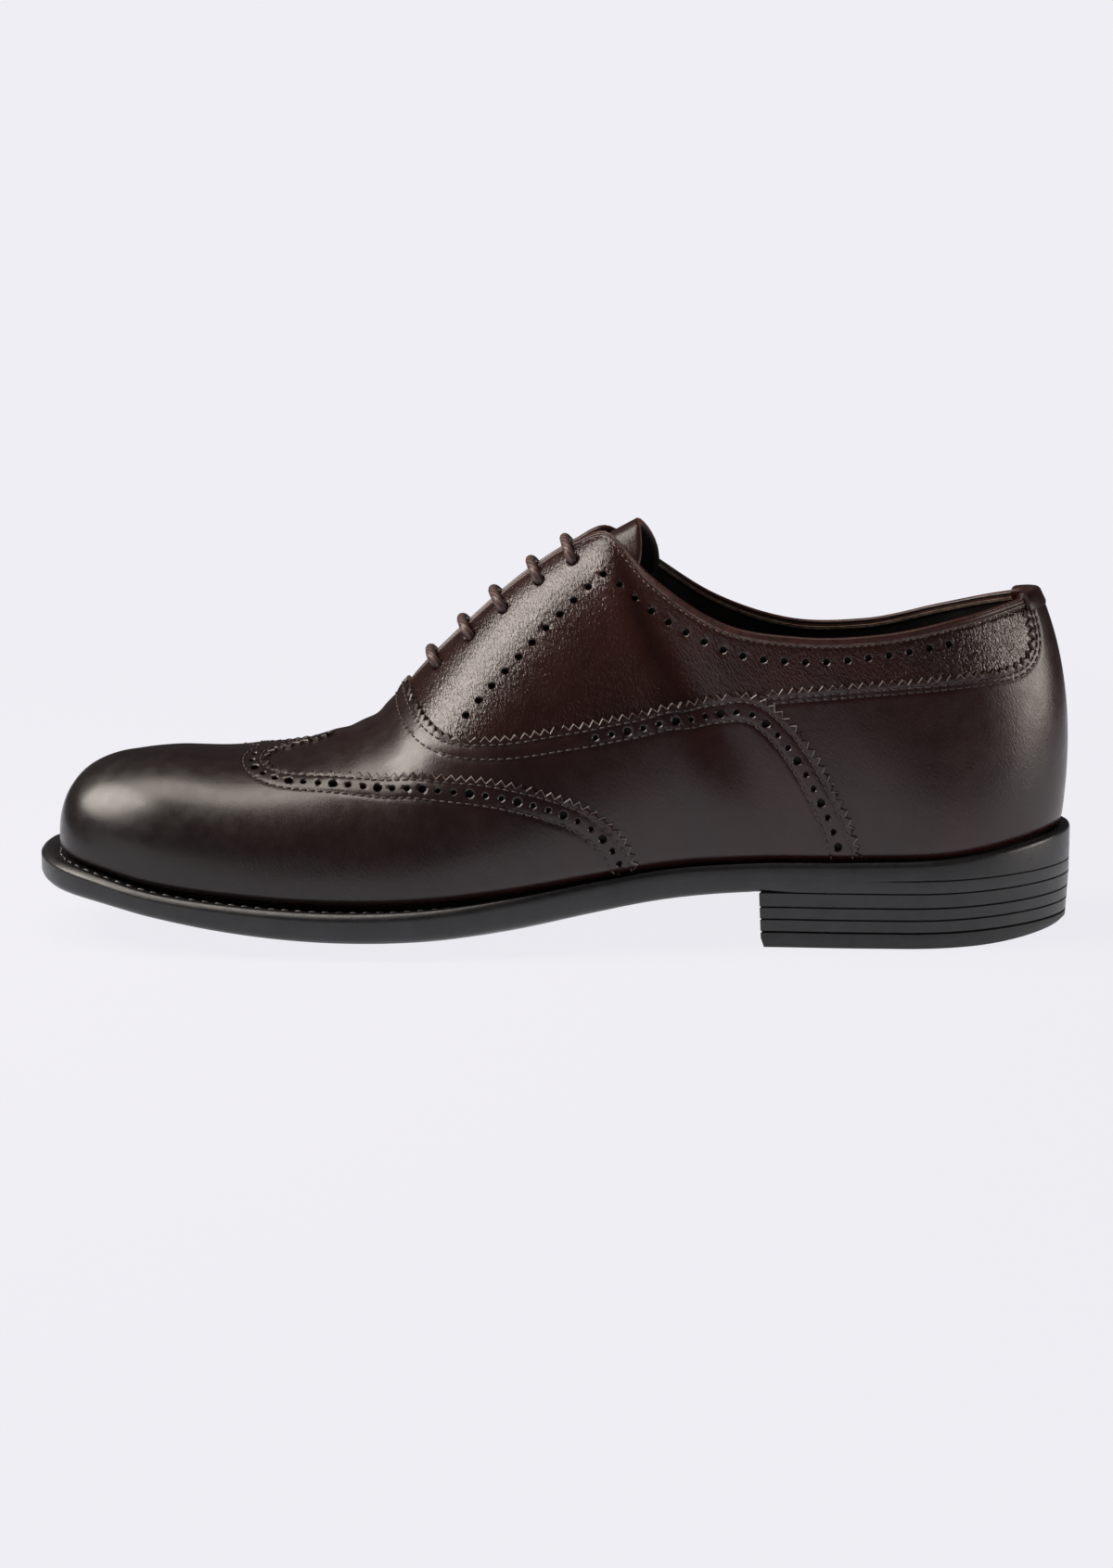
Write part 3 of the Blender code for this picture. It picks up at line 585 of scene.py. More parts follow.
def hole_gaps(points, holes, side):
    """Distance of each point from the edge of the nearest hole."""
    centres = on_skin(holes[:, :2], 0.0, side)
    away = np.linalg.norm(points[:, None] - centres[None], axis=-1)
    return (away - holes[None, :, 2]).min(axis=1)


def walls(flat, lift, side, edge, cut, rings):
    """Points below a panel's cut edge and holes, with the faces down to them and their materials."""
    verts = [on_skin(flat[edge], np.full(len(edge), SKIRT_LIFT), side)]
    low = len(flat) + np.arange(len(edge))
    count = len(flat) + len(edge)
    faces = []
    for i in np.flatnonzero(cut):
        j = (i + 1) % len(edge)
        faces.append((edge[j], edge[i], low[i], low[j]))
    kinds = [CUT_HIGHLIGHT_KIND] * len(faces)
    for top in rings:
        verts.append(on_skin(flat[top], lift[top] - HOLE_DEPTH, side))
        low = count + np.arange(len(top))
        count += len(top)
        for i in range(len(top)):
            j = (i + 1) % len(top)
            faces.append((top[i], top[j], low[j], low[i]))
        # The closed bottom and the walls of each hole are painted near-black shade
        faces.append(tuple(low))
        kinds += [HOLE_SHADE_KIND] * (len(top) + 1)
    return verts, faces, kinds


def panel(pieces, layer, side=0, holes=(), rows=()):
    """A panel's points, faces and the material index of each face.

    Pieces are the stretches of its outline in the layout, each with whether its edge shows as cut
    leather. Material 0 is the face, 1 the cut edge, lighter partly as a painted highlight, and 2 the
    holes, whose walls and closed bottoms are painted near-black shade.
    """
    boundary, cut = closed_outline(pieces)
    holes = np.asarray(holes, float).reshape(-1, 3)
    bevel, bevelled = bevel_points(boundary, cut, side)
    inside = panel_points(np.concatenate([boundary, bevel]), holes, rows, side)
    loops = [boundary] + hole_rings(holes, side, 0.0)
    ranges = loop_ranges(loops)
    inner_index = np.arange(len(boundary))
    inner_index[bevelled] = ranges[-1][1] + np.arange(len(bevel))
    chain = list(zip(inner_index[cut].tolist(), np.roll(inner_index, -1)[cut].tolist()))
    flat, faces, index = filled(loops, np.concatenate([bevel, inside]), chain)
    base = on_skin(flat, 0.0, side)
    lift = layer_lift(flat, layer, side)
    if len(rows):
        near_row = nearest(base, on_skin(np.concatenate(rows), 0.0, side))
        lift -= GROOVE_DEPTH * np.exp(-(near_row / GROOVE_WIDTH) ** 2)
    if len(holes):
        faces = faces[hole_gaps(base[faces].mean(axis=1), holes, side) > 0.0]
        lift -= HOLE_SINK * np.clip(1.0 - hole_gaps(base, holes, side) / HOLE_BEVEL, 0.0, 1.0)
    edge, *rings = [np.array([index[i] for i in range(*ends)]) for ends in ranges]
    cut_points = edge[cut | np.roll(cut, 1)]
    lift[cut_points] -= EDGE_SINK
    outer = np.isin(faces, cut_points)
    inner = np.isin(faces, [index[i] for i in inner_index[bevelled]])
    # Bevel faces take the cut-edge material, whose light colour is partly a painted highlight
    on_bevel = (outer | inner).all(axis=1) & outer.any(axis=1)
    low, wall_faces, wall_kinds = walls(flat, lift, side, edge, cut, rings)
    faces = [tuple(face) for face in faces] + wall_faces
    if side > 0:
        faces = [face[::-1] for face in faces]
    kinds = (CUT_HIGHLIGHT_KIND * on_bevel).tolist() + wall_kinds
    return np.concatenate([on_skin(flat, lift, side)] + low), faces, kinds


def scene_object(name, data):
    """Object of the scene that shows the data."""
    obj = bpy.data.objects.new(name, data)
    bpy.context.scene.collection.objects.link(obj)
    return obj


def bm_object(name, bm, mats):
    """Object with the mesh that was being made, and its materials."""
    mesh = bpy.data.meshes.new(name)
    bm.to_mesh(mesh)
    bm.free()
    for mat in mats:
        mesh.materials.append(mat)
    return scene_object(name, mesh)


def make_mesh(name, patches, mats, sharp=40.0):
    """Piece from patches of points, faces and material indices, welded where they meet."""
    bm = bmesh.new()
    for points, faces, kinds in patches:
        verts = [bm.verts.new(Vector(p) * MM) for p in points]
        for face, kind in zip(faces, kinds):
            made = bm.faces.new([verts[i] for i in face])
            made.material_index = kind
    bmesh.ops.remove_doubles(bm, verts=bm.verts, dist=WELD)
    loose = [vert for vert in bm.verts if not vert.link_faces]
    bmesh.ops.delete(bm, geom=loose, context="VERTS")
    obj = bm_object(name, bm, mats)
    obj.data.shade_smooth()
    obj.data.set_sharp_from_angle(angle=math.radians(sharp))
    return obj


def loft(rings, closed=True, kind=0, flip=False):
    """Patch through rings of points."""
    rings = np.asarray(rings, float)
    count = rings.shape[1]
    faces = []
    for ring in range(len(rings) - 1):
        for i in range(count if closed else count - 1):
            j = (i + 1) % count
            a = ring * count
            face = (a + i, a + j, a + count + j, a + count + i)
            faces.append(face[::-1] if flip else face)
    return rings.reshape(-1, 3), faces, [kind] * len(faces)


def finish_piece(obj, slot_name, *nodes):
    """The piece rides with the shoe, and stands for the given solids of the frame."""
    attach(obj, "root")
    if nodes:
        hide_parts(*nodes)


# Stitches: place along the stitch, radius and rise, as shares of its half length and its radius
STITCH_FORM = ((-1.0, 0.3, -0.7), (-0.7, 0.85, 0.0), (0.0, 1.0, 0.25), (0.7, 0.85, 0.0), (1.0, 0.3, -0.7))
STITCH_SIDES = 6
STITCH_PITCH = 2.4
STITCH_LENGTH = 2.0
STITCH_RADIUS = 0.29
COLLAR_PITCH = 2.0
COLLAR_STITCH = 1.3
COLLAR_RADIUS = 0.2
WELT_PITCH = 3.85
WELT_STITCH = 2.4
WELT_RADIUS = 0.34


def skin_stitches(line, side, layer, pitch=STITCH_PITCH):
    """Middles and directions of the stitches along a line of the inner side, on either side."""
    ends = evenly(line, pitch)
    middles = 0.5 * (ends[1:] + ends[:-1])
    run, across, normal = directions(middles, side)
    lift = layer_lift(middles, layer, side) - GROOVE_DEPTH + 0.5 * STITCH_RADIUS
    return on_skin(middles, lift, side), run, across, normal


def stitch_mesh(name, seams, mat, length=STITCH_LENGTH, radius=STITCH_RADIUS):
    """All the stitches of some seams as one mesh."""
    middle, run, across, normal = (np.concatenate(parts) for parts in zip(*seams))
    turn = np.linspace(0.0, 2 * math.pi, STITCH_SIDES, endpoint=False)
    rings = []
    for along, width, rise in STITCH_FORM:
        core = middle + run * (0.5 * along * length) + normal * (rise * radius)
        ring = [core + radius * width * (math.cos(a) * across + math.sin(a) * normal) for a in turn]
        rings.append(np.stack(ring, axis=1))
    points = np.stack(rings, axis=1).reshape(-1, 3)
    each = len(STITCH_FORM) * STITCH_SIDES
    one = loft(np.zeros((len(STITCH_FORM), STITCH_SIDES, 3)))[1]
    one += [tuple(range(STITCH_SIDES))[::-1], tuple(range(each - STITCH_SIDES, each))]
    faces = [tuple(i + start for i in face) for start in range(0, len(points), each) for face in one]
    mesh = bpy.data.meshes.new(name)
    mesh.from_pydata((points * MM).tolist(), [], faces)
    mesh.shade_smooth()
    mesh.materials.append(mat)
    return scene_object(name, mesh)


# Pattern lines of the inner side
WING_LINE = flat_line(WING_EDGE)
VAMP_LINE = flat_line(VAMP_EDGE)
COUNTER_LINE = flat_line(COUNTER_EDGE)
QUARTER_FOOT = flat_line(VAMP_EDGE[:VAMP_CORNER_ROW] + COUNTER_EDGE)
VAMP_BACK = flat_line(VAMP_EDGE[VAMP_CORNER_ROW:])
HOLE_PITCH_WING = 4.45
HOLE_PITCH_VAMP = 4.6
HOLE_PITCH_QUARTER = 5.85
QUARTER_HOLE = 0.95
EYELET_RADIUS = 1.6
WING_HOLES_BEGIN = 6.2
VAMP_HOLES_FROM = 10.5
QUARTER_ROW = (
    (-19, 0.598), (-9.8, 0.647), (-0.4, 0.685), (10.2, 0.716), (20.7, 0.753), (33.3, 0.809), (38.4, 0.795),
    (51, 0.871), (61.9, 0.89), (72.1, 0.896), (82.9, 0.897), (93.6, 0.902), (104.1, 0.91), (113.9, 0.915),
    (127.7, 0.91),
)
QUARTER_TIP = 5
COUNTER_ROWS = (2.0, 3.3)
COLLAR_ROW = 2.2
COLLAR_ROW_START = 30.0


def widening(line, start, end):
    """Distances from a line that grow from its start to its end."""
    way = way_along(line)
    return start + (end - start) * way / way[-1]


def ridge_start(line):
    """The line led on to the ridge at its first point."""
    return np.concatenate([[[line[0, 0], 0.0]], line])


def whole_panel(name, node, layer, inner, holes, rows, mats):
    """Panel over both sides, from the outline, holes and stitch rows of the inner side."""
    outer = [(mirrored(line)[::-1], shows) for line, shows in inner[::-1]]
    holes = np.concatenate([holes, holes * np.array([1.0, -1.0, 1.0])])
    patch = panel(inner + outer, layer, 0, holes, rows + [mirrored(row) for row in rows])
    finish_piece(make_mesh(name, [patch], mats), "burnished_leather", node)


def make_wing(mats):
    """Wing cap. Its stitch rows are given back, as by the next two."""
    edge = gimped(WING_LINE)
    hem = girth_line(edge[-1, 0], 0.0, 0.0)
    inner = [(edge, True), (hem, False), (upright(0.0, -FLAT_GIRTH, 0.0), False)]
    holes = brogue_holes(aside(WING_LINE, -WING_HOLE_ROW), HOLE_PITCH_WING, WING_HOLES_BEGIN)
    rows = [aside(WING_LINE, -distance) for distance in WING_ROWS]
    whole_panel("wing_cap_leather", "wing_cap", WING_LAYER, inner, holes, rows, mats)
    return rows


def make_vamp(mats):
    front = ridge_start(aside(WING_LINE, -UNDERLAP))
    edge = gimped(VAMP_LINE)[::-1]
    hem = girth_line(front[-1, 0], edge[0, 0], 0.0)
    front[-1, 1] = -FLAT_GIRTH
    inner = [(front, False), (hem, False), (edge, True)]
    hole_line = aside(VAMP_LINE, -widening(VAMP_LINE, *VAMP_HOLE_ROW))
    holes = brogue_holes(hole_line[hole_line[:, 0] > flat_x(VAMP_HOLES_FROM)], HOLE_PITCH_VAMP)
    rows = [aside(VAMP_LINE, -VAMP_ROW), aside(VAMP_LINE, -widening(VAMP_LINE, *VAMP_ROW_TWO))]
    whole_panel("side_panel_leather", "side_panel", VAMP_LAYER, inner, holes, rows, mats)
    return rows


def make_counter(mats):
    front = aside(VAMP_BACK, -UNDERLAP)[::-1]
    front[0, 1] = -FLAT_GIRTH
    edge = gimped(COUNTER_LINE)
    lead = np.array([front[-1], edge[0]])
    over = girth_line(edge[-1, 0], FLAT_LENGTH, COUNTER_EDGE[-1][1])
    back = upright(FLAT_LENGTH, over[-1, 1], -FLAT_GIRTH)
    hem = girth_line(FLAT_LENGTH, front[0, 0], 0.0)
    pieces = [(line, line is edge) for line in (front, lead, edge, over, back, hem)]
    rows = [aside(COUNTER_LINE, -distance) for distance in COUNTER_ROWS]
    patches = [panel(pieces, COUNTER_LAYER, side, (), rows) for side in SIDES]
    finish_piece(make_mesh("counter_leather", patches, mats), "burnished_leather", "counter")
    return rows


def quarter_holes():
    """The single row of holes along facing and collar, and the eyelets."""
    up = evenly(flat_line(QUARTER_ROW[:QUARTER_TIP + 1]), HOLE_PITCH_QUARTER)
    back = evenly(flat_line(QUARTER_ROW[QUARTER_TIP:]), HOLE_PITCH_QUARTER)[1:]
    row = np.concatenate([up, back])
    x = flat_x(np.array(EYELET_STATIONS))
    eyelets = np.column_stack([x, np.full(len(x), flat_y(EYELET_GIRTH))])
    radii = np.concatenate([np.full(len(row), QUARTER_HOLE), np.full(len(x), EYELET_RADIUS)])
    return np.column_stack([np.concatenate([row, eyelets]), radii])


def collar_line():
    return aside(girth_line(flat_x(COLLAR_ROW_START), flat_x(TAB_STATION), 1.0), -COLLAR_ROW)


def make_quarters(mats):
    foot = ridge_start(aside(QUARTER_FOOT, -UNDERLAP))
    end = np.array([foot[-1], [foot[-1, 0], 0.0]])
    top = girth_line(foot[-1, 0], foot[0, 0], 1.0)
    pieces = [(line, False) for line in (foot, end, top)]
    patches = [panel(pieces, 0.0, side, quarter_holes(), [collar_line()]) for side in SIDES]
    finish_piece(make_mesh("quarters_leather", patches, mats), "oxblood_leather", "upper")


# Collar rim in three strips: the cut edge of the quarters, lighter partly as a painted highlight,
# the turned binding and the lining's raw edge. A row is a share of the band below the edge, a rise
# above that and a lift.
RIM_LINE = ((-1.0, -0.75, -0.1), (-1.0, -0.7, 0.1), (-1.0, -0.6, 0.22), (-1.0, -0.3, 0.2), (-1.0, 0.0, 0.0))
RIM_BINDING = (
    (-1.0, 0.0, 0.0), (-0.6, 0.0, 0.1), (-0.2, 0.0, 0.08), (0.0, 0.0, -0.1), (0.0, 0.35, -0.5),
    (0.0, 0.45, -1.0), (0.0, 0.35, -1.5), (0.0, 0.0, -1.9), (0.0, -1.2, -2.1),
)
RIM_LINING = ((0.0, -1.2, -2.1), (0.0, -1.25, -2.4), (0.0, -2.05, -2.4), (0.0, -2.15, -1.9))
COLLAR_BAND = 1.3
FACING_BAND = 0.35
BAND_CHANGE = (24.0, 38.0)
RIM_COLUMNS = 260
THROAT = -33.0


def edge_directions(t, side):
    """Point, upward and outward directions on the top edge of the upper."""
    edge = skin(t, side, 1.0)
    return edge, unit(edge - skin(t, side, 1.0 - 2 * SHARE_STEP)), skin_normal(t, side, 1.0)


def round_heel(half_of):
    """Points of a line along one side, round the heel and back along the other side."""
    return np.concatenate([half_of(-1.0), half_of(1.0)[-2::-1]])


def rim_ring(low, rise, lift):
    """Points along one line of the rim, up one facing, round the collar and down the other facing."""
    t = np.linspace(share(THROAT), 1.0, RIM_COLUMNS)
    band = FACING_BAND + (COLLAR_BAND - FACING_BAND) * smooth_step(*BAND_CHANGE, station(t))

    def half(side):
        edge, up, out = edge_directions(t, side)
        return edge + up * (low * band + rise)[:, None] + out * lift

    return round_heel(half)


def make_rim(mats):
    """Edges of quarters, binding and lining along the facings and round the collar."""
    patches = []
    for kind, form in enumerate((RIM_LINE, RIM_BINDING, RIM_LINING)):
        patches.append(loft([rim_ring(*row) for row in form], closed=False, kind=kind, flip=True))
    finish_piece(make_mesh("collar_rim", patches, mats, sharp=60.0), "oxblood_leather")


LINING_COLUMNS = 150
LINING_ROWS = 40


def make_lining(mat):
    """Inner face of the upper."""
    t = np.linspace(0.0, 1.0, LINING_COLUMNS)[:, None]
    v = np.linspace(0.0, 1.0, LINING_ROWS)[None, :]
    patches = [loft(lifted(t, side, v, -WALL), closed=False, flip=side > 0) for side in SIDES]
    finish_piece(make_mesh("lining", patches, [mat]), "insole_leather")


# Back tab: girth share, lift and rise above the edge, from its outer foot over the collar
TAB_FORM = (
    (0.945, 0.4, 0.0), (0.945, 1.15, 0.0), (0.953, 1.35, 0.0), (1.0, 1.15, 0.2), (1.0, 0.8, 0.95),
    (1.0, 0.0, 1.45), (1.0, -1.0, 1.6), (1.0, -2.0, 1.45), (1.0, -2.75, 0.95), (1.0, -3.05, 0.2),
    (0.975, -3.1, 0.0), (0.965, -2.95, 0.0), (0.965, -2.2, 0.0),
)
TAB_COLUMNS = 30
TAB_END = 0.25


def tab_ring(girth, lift, rise):
    """Points across the tab along one line of its form, drawn in at its two ends."""
    t = np.linspace(share(TAB_STATION), 1.0, TAB_COLUMNS)
    ends = np.concatenate([[TAB_END], np.ones(TAB_COLUMNS - 1)])

    def half(side):
        _, up, _ = edge_directions(t, side)
        out = skin_normal(t, side, girth) * ((lift + 0.5 * WALL) * ends)[:, None]
        return lifted(t, side, girth, -0.5 * WALL) + out + up * (rise * ends)[:, None]

    return round_heel(half)


def make_tab(mats):
    """Strip folded over the collar at the back seam."""
    patch = loft([tab_ring(*row) for row in TAB_FORM], closed=False, flip=True)
    piece = make_mesh("back_tab_leather", [patch], mats, sharp=55.0)
    finish_piece(piece, "burnished_leather", "back_tab")


TONGUE_SECTIONS = 60
TONGUE_POINTS = 12
TONGUE_TIP_ROWS = 10
TONGUE_THICKNESS = 2.0


def make_tongue(mats):
    """Tongue under the facings: leather outside, lining inside and a raw edge."""
    girths = np.linspace(TONGUE_GIRTH, 1.0, TONGUE_POINTS)
    under = -(WALL + UNDER_FACING) - TONGUE_EDGE_DROP * (1.0 - girths) / (1.0 - TONGUE_GIRTH)
    rings = []
    for t in np.linspace(share(TONGUE_START), share(TONGUE_END), TONGUE_SECTIONS):
        inner, outer = (lifted(t, side, girths, under) for side in SIDES)
        middle = 0.5 * (inner[-1:] + outer[-1:])
        rings.append(np.concatenate([inner[:-1], middle, outer[-2::-1]]))
    across = np.linspace(-1.0, 1.0, len(rings[-1]))[:, None]
    last = rings[-1]
    back = TONGUE_TIP[0] * (1.0 - across ** 4) + TONGUE_SKEW * np.maximum(across, 0.0)
    up = TONGUE_TIP[1] * (1.0 - across ** 2) ** 2
    tip = np.concatenate([back, np.zeros_like(back), up], axis=1)
    for reach in np.linspace(0.0, 1.0, TONGUE_TIP_ROWS)[1:]:
        rings.append(last + tip * reach)
    piece = make_mesh("tongue_leather", [loft(rings, closed=False, flip=True)], mats)
    thick = piece.modifiers.new("thickness", "SOLIDIFY")
    thick.thickness = TONGUE_THICKNESS * MM
    thick.offset = -1.0
    thick.material_offset = 1
    thick.material_offset_rim = 2
    finish_piece(piece, "tongue_leather", "tongue")


# Lace: the eyelet rows it passes and the side it comes up on, from one hidden end to the other
LACE_WAY = ((3, -1.0), (1, 1.0), (0, -1.0), (2, 1.0), (4, -1.0))
LACE_FIRST = (4, -1.0)
LACE_FIRST_GIRTH = EYELET_GIRTH - 0.02
LACE_OVER = LACE_RADIUS + 0.3
LACE_UNDER = -2.75
LACE_FLAT = 0.45
LACE_BULK = 1.12
LACE_STEPS = 9
LACE_ROUND = 4

# One eyelet from under the facing up to the bar: girth share, lift and share of the thickness
LACE_STOP = (
    (EYELET_GIRTH, LACE_UNDER, LACE_FLAT), (EYELET_GIRTH, -0.9, 0.9), (EYELET_GIRTH + 0.004, 0.55, 1.0),
    (EYELET_GIRTH + 0.02, LACE_OVER, 1.0), (0.985, LACE_OVER + 0.15, 1.0),
)


def lace_point(row, side, girth, lift):
    return lifted(share(EYELET_STATIONS[row]), side, girth, lift)


def lace_route():
    """Points of the lace's way and its thickness at each: full outside, pressed flat inside."""
    points = [lace_point(*LACE_FIRST, LACE_FIRST_GIRTH, LACE_UNDER)]
    thick = [LACE_FLAT]
    for row, start in LACE_WAY:
        for side, order in ((start, 1), (-start, -1)):
            for girth, lift, size in LACE_STOP[::order]:
                points.append(lace_point(row, side, girth, lift))
                thick.append(size)
    return np.array(points), np.array(thick)


def make_lace(mat):
    points, thick = lace_route()
    way = way_along(points)
    at = np.linspace(0.0, way[-1], LACE_STEPS * len(points))
    path = read_curve(points, way, at)
    curve = bpy.data.curves.new("lace_cord", "CURVE")
    curve.dimensions = "3D"
    curve.bevel_depth = LACE_BULK * LACE_RADIUS * MM
    curve.bevel_resolution = LACE_ROUND
    curve.use_fill_caps = True
    spline = curve.splines.new("POLY")
    spline.points.add(len(path) - 1)
    for knot, point, size in zip(spline.points, path, np.interp(at, way, thick)):
        knot.co = (*(point * MM), 1.0)
        knot.radius = size
    spline.use_smooth = True
    curve.materials.append(mat)
    finish_piece(scene_object("lace_cord", curve), "lace_cord", "lace")


# Sole: rings round it, fine enough to show no facets
ROUND_COLUMNS = 220
ROUND_EASE = 0.3
CAP_CLEAR = 0.4


def round_places():
    even = np.linspace(0.0, 1.0, ROUND_COLUMNS + 1)
    t = even + ROUND_EASE * np.sin(2 * math.pi * even) / (2 * math.pi)
    sides = np.concatenate([-np.ones(ROUND_COLUMNS + 1), np.ones(ROUND_COLUMNS - 1)])
    return np.concatenate([t, t[-2:0:-1]]), sides


ROUND_T, ROUND_SIDE = round_places()


def level_ring(inset, height, rise=0.0):
    """Ring of points round the sole at an inset from its edge, over a height worked out in plan."""
    xy = outline(ROUND_T, ROUND_SIDE, np.broadcast_to(inset, ROUND_T.shape))
    return np.column_stack([xy, height(xy) + rise])


def cap(ring, height, spacing, flip=False):
    """Face across a ring, with points inside it at the height worked out in plan."""
    edge = ring[:, :2]
    flat, faces, _ = filled([edge], clear_grid(edge, edge, spacing, CAP_CLEAR), [])
    faces = [tuple(face)[::-1] if flip else tuple(face) for face in faces]
    return np.column_stack([flat, height(flat)]), faces, [0] * len(faces)


# Edge of the sole above its tread. A row is an inset as a share of the margin and a drop below the
# welt's top, first round the forepart, then round the back of the heel.
WELT_FORM = (
    (0.0, 1.5, 0.0, 1.7), (0.03, 1.15, 0.04, 1.0), (0.17, 0.12, 0.12, 0.5), (0.21, 0.03, 0.25, 0.17),
    (0.34, 0.0, 0.45, 0.03), (0.46, 0.08, 0.65, 0.0), (0.55, 0.45, 0.77, 0.05), (0.63, 0.68, 0.86, 0.2),
    (0.75, 0.68, 0.93, 0.4), (0.86, 0.55, 0.97, 0.5), (1.0, 0.5, 1.0, 0.5), (1.25, 0.5, 1.25, 0.5),
)
WELT_REAR = (75.0, 120.0)
WELT_STITCH_INSET = 0.68
WELT_STITCH_DROP = 0.5
WELT_STITCH_END = -28.0
WELT_STITCH_POINTS = 400
HEEL_SEAM_DEPTH = 0.35
HEEL_SEAM_FORM = ((-0.4, 0.0), (-0.22, 0.0), (0.0, 1.0), (0.22, 0.0), (0.4, 0.0))
HEEL_SEAM_FADE = (84.0, 112.0)
HEEL_SEAT = (54.0, 70.0)
HEEL_SEAT_SHARP = 0.8
SEAT_SINK = 0.5
SOLE_LAP = 1.5
SOLE_SPACING = 4.0


def welt_top(xy):
    return seat_height(xy[:, 0])


def heel_seam(xy):
    """Height of the seam between welt and outsole, which shows round the heel."""
    return welt_top(xy) - sole("welt", xy[:, 0])


def make_sole(mat):
    """Outsole and welt as one dressed edge, with the stitch channel on top."""
    x = station(ROUND_T)
    margin = sole("margin", x)
    sharp = 1.0 - HEEL_SEAT_SHARP * smooth_step(*HEEL_SEAT, x)
    seam_depth = HEEL_SEAM_DEPTH * smooth_step(*HEEL_SEAM_FADE, x)
    rear = smooth_step(*WELT_REAR, x)
    rings = [level_ring(inset * sharp, tread_height, rise * sharp) for inset, rise in TREAD_ROUND]
    rings += [level_ring(seam_depth * depth, heel_seam, rise) for rise, depth in HEEL_SEAM_FORM]
    for fore_inset, fore_drop, rear_inset, rear_drop in WELT_FORM:
        inset = margin * (fore_inset + (rear_inset - fore_inset) * rear)
        drop = fore_drop + (rear_drop - fore_drop) * rear
        rings.append(level_ring(inset, welt_top, -drop))
    rings.append(level_ring(margin + WALL + SOLE_LAP, welt_top, -SEAT_SINK))
    patches = [loft(rings), cap(rings[0], tread_height, SOLE_SPACING, flip=True)]
    piece = make_mesh("dressed_sole", patches, [mat], sharp=50.0)
    finish_piece(piece, "sole_leather", "outsole", "welt")


def welt_stitches(side):
    """Middles and directions of the stitches in the welt's channel on one side."""
    t = np.linspace(0.0, share(WELT_STITCH_END), WELT_STITCH_POINTS)
    xy = outline(t, side, WELT_STITCH_INSET * sole("margin", station(t)))
    path = np.column_stack([xy, welt_top(xy) - WELT_STITCH_DROP])
    way = way_along(path)
    middle = read_line(path, way, np.arange(0.5 * WELT_PITCH, way[-1], WELT_PITCH))
    run = unit(np.gradient(middle, axis=0))
    normal = np.repeat([UP], len(middle), axis=0)
    return middle, run, np.cross(normal, run), normal


# Heel and insole
HEEL_COLUMNS = 110
BREAST_COLUMNS = 24
SEAM_DEPTH = 0.45
SEAM_HALF = 0.28
LIFT_GAP = 0.1
HEEL_LOW_SPACING = 6.0
HEEL_TOP_SPACING = 12.0
INSOLE_SPACING = 5.0


def heel_ring(inset, z):
    """Outline of the heel block at one level: the sole's edge, closed by a hollow breast."""
    inner = np.linspace(share(BREAST_INNER + inset), 1.0, HEEL_COLUMNS)
    outer = np.linspace(1.0, share(BREAST_OUTER + inset), HEEL_COLUMNS)[1:]
    sides = np.concatenate([outline(inner, -1.0, np.full(len(inner), inset)),
                            outline(outer, 1.0, np.full(len(outer), inset))])
    s = np.linspace(0.0, 1.0, BREAST_COLUMNS + 1)[1:-1, None]
    breast = sides[-1] + (sides[0] - sides[-1]) * s
    breast[:, 0] += BREAST_HOLLOW * 4 * s[:, 0] * (1 - s[:, 0])
    xy = np.concatenate([sides, breast])
    return np.column_stack([xy, np.full(len(xy), z)])


def make_heel_piece(name, rows, mat, slot_name, node, bevel=0.0):
    """Heel piece from rows of height and inset, its first ring bevelled up at the back."""
    rings = [heel_ring(inset + HEEL_TAPER * (1 - z / HEEL_HEIGHT), z) for z, inset in rows]

    def first_height(xy):
        past = np.clip((xy[:, 0] - BEVEL_START) / (0.5 * LENGTH - BEVEL_START), 0.0, 1.0)
        return rows[0][0] + bevel * past ** 2

    def last_height(xy):
        return np.full(len(xy), rows[-1][0])

    rings[0][:, 2] = first_height(rings[0])
    low = cap(rings[0], first_height, HEEL_LOW_SPACING, flip=True)
    high = cap(rings[-1], last_height, HEEL_TOP_SPACING)
    finish_piece(make_mesh(name, [loft(rings), low, high], [mat]), slot_name, node)


def make_heel(mat):
    rows = [(TOP_LIFT_HEIGHT, SEAM_DEPTH), (TOP_LIFT_HEIGHT + SEAM_HALF, 0.0)]
    for seam in LIFT_SEAMS:
        rows += [(seam - SEAM_HALF, 0.0), (seam, SEAM_DEPTH), (seam + SEAM_HALF, 0.0)]
    rows += [(HEEL_HEIGHT - SEAM_HALF, 0.0), (HEEL_HEIGHT, SEAM_DEPTH)]
    make_heel_piece("heel_lifts", rows, mat, "sole_leather", "heel")


def make_top_lift(mat):
    top = TOP_LIFT_HEIGHT - LIFT_GAP
    rows = [(0.0, FOOT_ROUND), (BEVEL_RISE + BEVEL_SHOULDER, 0.0), (top - SEAM_HALF, 0.0), (top, SEAM_DEPTH)]
    make_heel_piece("top_lift_rubber", rows, mat, "heel_rubber", "top_lift", BEVEL_RISE)


def make_insole(mat):
    inset = sole("margin", station(ROUND_T)) + WALL + GAP

    def top(xy):
        return welt_top(xy) + INSOLE_RISE

    rim = level_ring(inset + INSOLE_ROUND, top)
    low = level_ring(inset, top, -INSOLE_ROUND)
    foot = level_ring(inset, welt_top, -SEAT_SINK)
    patches = [loft([foot, low, rim]), cap(rim, top, INSOLE_SPACING)]
    finish_piece(make_mesh("insole_sock", patches, [mat], sharp=60.0), "insole_leather", "insole")


